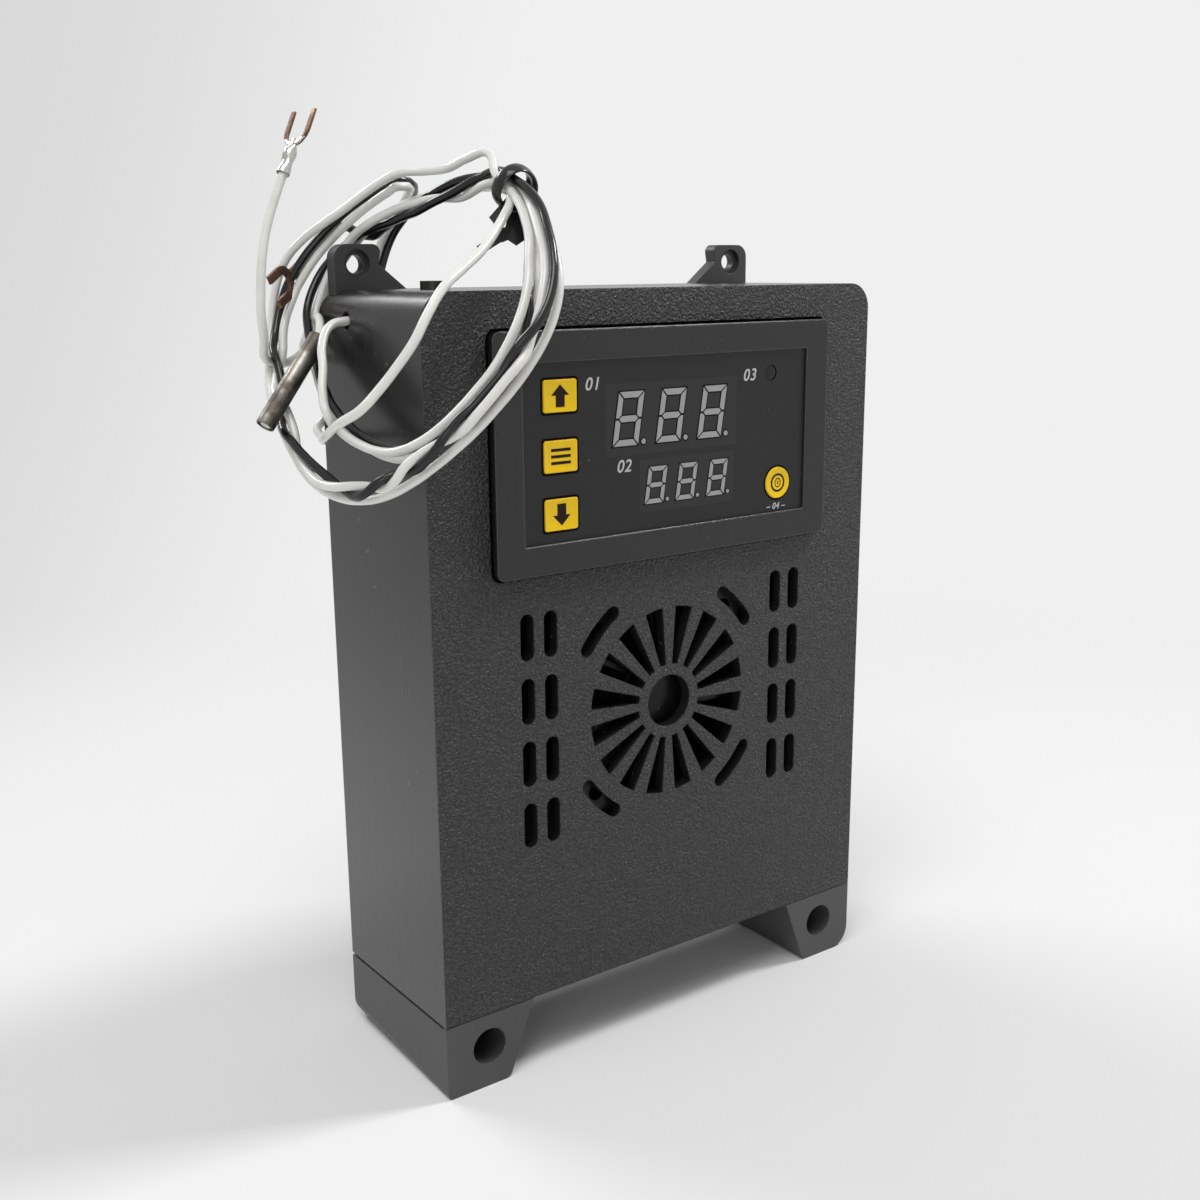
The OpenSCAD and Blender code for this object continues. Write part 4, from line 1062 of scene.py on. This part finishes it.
def bars_of(width, height, stroke, gap):
    w = width / 2
    h = height / 2
    s = stroke
    g = gap / 2
    top = [(-w + g, h), (w - g, h), (w - s - g, h - s), (-w + s + g, h - s)]
    upright = [(-w, h - g), (-w + s, h - s - g), (-w + s, s / 2 + g), (-w + s / 2, g), (-w, g)]
    centre = [(-w + s / 2 + g, 0), (-w + s + g, s / 2), (w - s - g, s / 2), (w - s / 2 - g, 0),
              (w - s - g, -s / 2), (-w + s + g, -s / 2)]
    outlines = [top, [(x, -z) for x, z in top], centre]
    for side_x, side_z in ((1, 1), (-1, 1), (1, -1), (-1, -1)):
        outlines.append([(x * side_x, z * side_z) for x, z in upright])
    return outlines


def block_of(width, height, stroke, margin):
    def box(middle_z, across, up):
        w = across / 2
        h = up / 2
        return [(-w, middle_z - h), (w, middle_z - h), (w, middle_z + h), (-w, middle_z + h)]

    room = width - 2 * stroke - 2 * margin
    rise = (height - 3 * stroke) / 2 - 2 * margin
    step = (height - stroke) / 4
    return [box(0, width + 2 * margin, height + 2 * margin), box(step, room, rise), box(-step, room, rise)]


def display(name, centres, middle_z, size, point, point_r, material, front_y, margin=0.0):
    width, height, stroke, gap = size
    shapes = block_of(width, height, stroke, margin) if margin else bars_of(width, height, stroke, gap)
    outlines = []
    for centre in centres:
        for outline in shapes:
            outlines.append([(centre + x + z * SLANT, middle_z + z) for x, z in outline])
        outlines.append(circle(centre + point[0], point[1], point_r + margin, count=14))
    complete(front_plate(outlines, front_y, DIGIT_DEPTH), name, material)


BIG = ((-10.5, -0.5, 9.5), 123.75, (5.8, 9.8, 1.12, 0.4), (3.45, 119.4), 0.5)
SMALL = ((-4.1, 3.3, 10.9), 111.05, (4.4, 6.9, 0.86, 0.34), (2.7, 108.1), 0.38)
display("display_main_bars", *BIG, segment_light, DIGIT_Y - BAR_LIFT)
display("display_set_bars", *SMALL, segment_light, DIGIT_Y - BAR_LIFT)
# Dark copies behind the bars: painted shadow round every bar
display("display_main_bar_shadows", *BIG, segment_painted_shadow, DIGIT_Y - SHADOW_LIFT, 0.26)
display("display_set_bar_shadows", *SMALL, segment_painted_shadow, DIGIT_Y - SHADOW_LIFT, 0.2)

# %% [markdown]
# ### Output lamp
# The lamp is a dark smoked lens with a low dome. A short cylinder's front face is inset and lifted in
# steps to make the dome.

# %% Output lamp
LAMP_L = 6.2
LAMP_MIDDLE = -15.95
lamp = cylinder(32, LAMP_R, LAMP_L, (LAMP[0], LAMP_MIDDLE, LAMP[1]), forward=True)
choose("FACE", lambda f: f.normal.y < -0.9)
for thickness, lift in ((0.2, 0.07), (0.35, 0.05), (0.45, 0.03)):
    inset(thickness)
    push(0, -lift, 0)
complete(lamp, "out_lamp_lens", lamp_finish)
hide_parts("out_lamp")

# %% [markdown]
# ## Stage and light
# A pale floor runs far behind the part and fades into the backdrop's own tone, so no horizon shows. The
# tone is a little darker up at the left. `backdrop_tone` works it out from the direction of sight, from one
# fixed point, so floor and backdrop agree: LEFT_TO_RIGHT is the direction in which it grows paler.

# %% Floor
BACKDROP_DARK = (0.69, 0.695, 0.693)
BACKDROP_PALE = (0.865, 0.87, 0.868)
LEFT_TO_RIGHT = (0.756, -0.656, -0.349)
SIGHT_FROM = tuple(camera.location)
FADE = (0.16, 0.45)


def backdrop_tone(tree, direction):
    across = tree.vector("DOT_PRODUCT", {0: direction, 1: LEFT_TO_RIGHT}, "Value")
    return tree.blend(tree.step(across, -0.5, -0.15), BACKDROP_DARK, BACKDROP_PALE)


clear_selection()
bpy.ops.mesh.primitive_plane_add(size=8, location=(0.6, 1.6, 0))
floor = bpy.context.object
floor.name = "floor"
bpy.ops.object.transform_apply(location=True)
paper = Finish("floor_paper", (0.82, 0.82, 0.816), 0.9)
paper.feed("Base Color", paper.blend(paper.noise(3, 2), (0.815, 0.815, 0.811), (0.828, 0.828, 0.824)))
sight = paper.vector("NORMALIZE", {0: paper.vector("SUBTRACT", {0: paper.place, 1: SIGHT_FROM})})
glow = paper.node("ShaderNodeEmission", {}, {"Color": backdrop_tone(paper, sight), "Strength": 1.0})
fade = paper.step(paper.vector("LENGTH", {0: paper.place}, "Value"), *FADE)
lit = Value(paper, paper.shader.outputs[0])
mixed = paper.node("ShaderNodeMixShader", {}, {0: fade, 1: lit, 2: glow})
paper.tree.links.new(mixed.socket, paper.tree.nodes["Material Output"].inputs["Surface"])
floor.data.materials.append(paper.material)
print("floor:", [round(v, 1) for v in floor.dimensions])

# %% [markdown]
# The world does two jobs. The camera, reflections and glass see the backdrop's tone, while everything else
# gets an even white fill of a lower strength. Light Path tells the kinds of ray apart.

# %% World
FILL_STRENGTH = 0.28
world = bpy.data.worlds.new("studio")
bpy.context.scene.world = world
world.use_nodes = True
world.node_tree.nodes.clear()
studio = Tree(world.node_tree)
seen = studio.node("ShaderNodeLightPath", {}, {}, "Is Camera Ray")
for kind in ("Is Glossy Ray", "Is Transmission Ray"):
    seen = seen.reckon("MAXIMUM", seen, studio.node("ShaderNodeLightPath", {}, {}, kind))
direction = studio.node("ShaderNodeTexCoord", {}, {}, "Generated")
backdrop = studio.node("ShaderNodeBackground", {}, {"Color": backdrop_tone(studio, direction)})
fill = studio.node("ShaderNodeBackground", {}, {"Color": (1, 1, 1, 1), "Strength": FILL_STRENGTH})
choice = studio.node("ShaderNodeMixShader", {}, {0: seen, 1: fill, 2: backdrop})
output = studio.tree.nodes.new("ShaderNodeOutputWorld")
studio.tree.links.new(choice.socket, output.inputs["Surface"])
print("world:", len(studio.tree.nodes), "nodes")


# %% [markdown]
# One large lamp hangs above and to the left, a second behind, a third high at the right for the glints on
# lower lips and edges, and a weak one low in front for the shine on the leads. All are wide, so shadows
# stay soft.

# %% Lamps
def softbox(name, place, target, width, height, watts):
    data = bpy.data.lights.new(name, "AREA")
    data.shape = "RECTANGLE"
    data.size = width
    data.size_y = height
    data.energy = watts
    lamp_object = bpy.data.objects.new(name, data)
    lamp_object.location = place
    aim = Vector(target) - Vector(place)
    lamp_object.rotation_euler = aim.to_track_quat("-Z", "Y").to_euler()
    bpy.context.scene.collection.objects.link(lamp_object)


softbox("top_softbox", (-0.3, -0.25, 0.85), (0, 0, 0.08), 0.45, 0.4, 3.0)
softbox("right_softbox", (0.55, -0.2, 0.85), (0, 0, 0.1), 0.18, 0.18, 4.2)
softbox("back_softbox", (-0.3, 0.85, 0.8), (0, 0, 0.12), 0.6, 0.2, 4.2)
softbox("front_softbox", (-0.75, -0.6, 0.35), (0, 0, 0.1), 0.3, 0.4, 0.8)
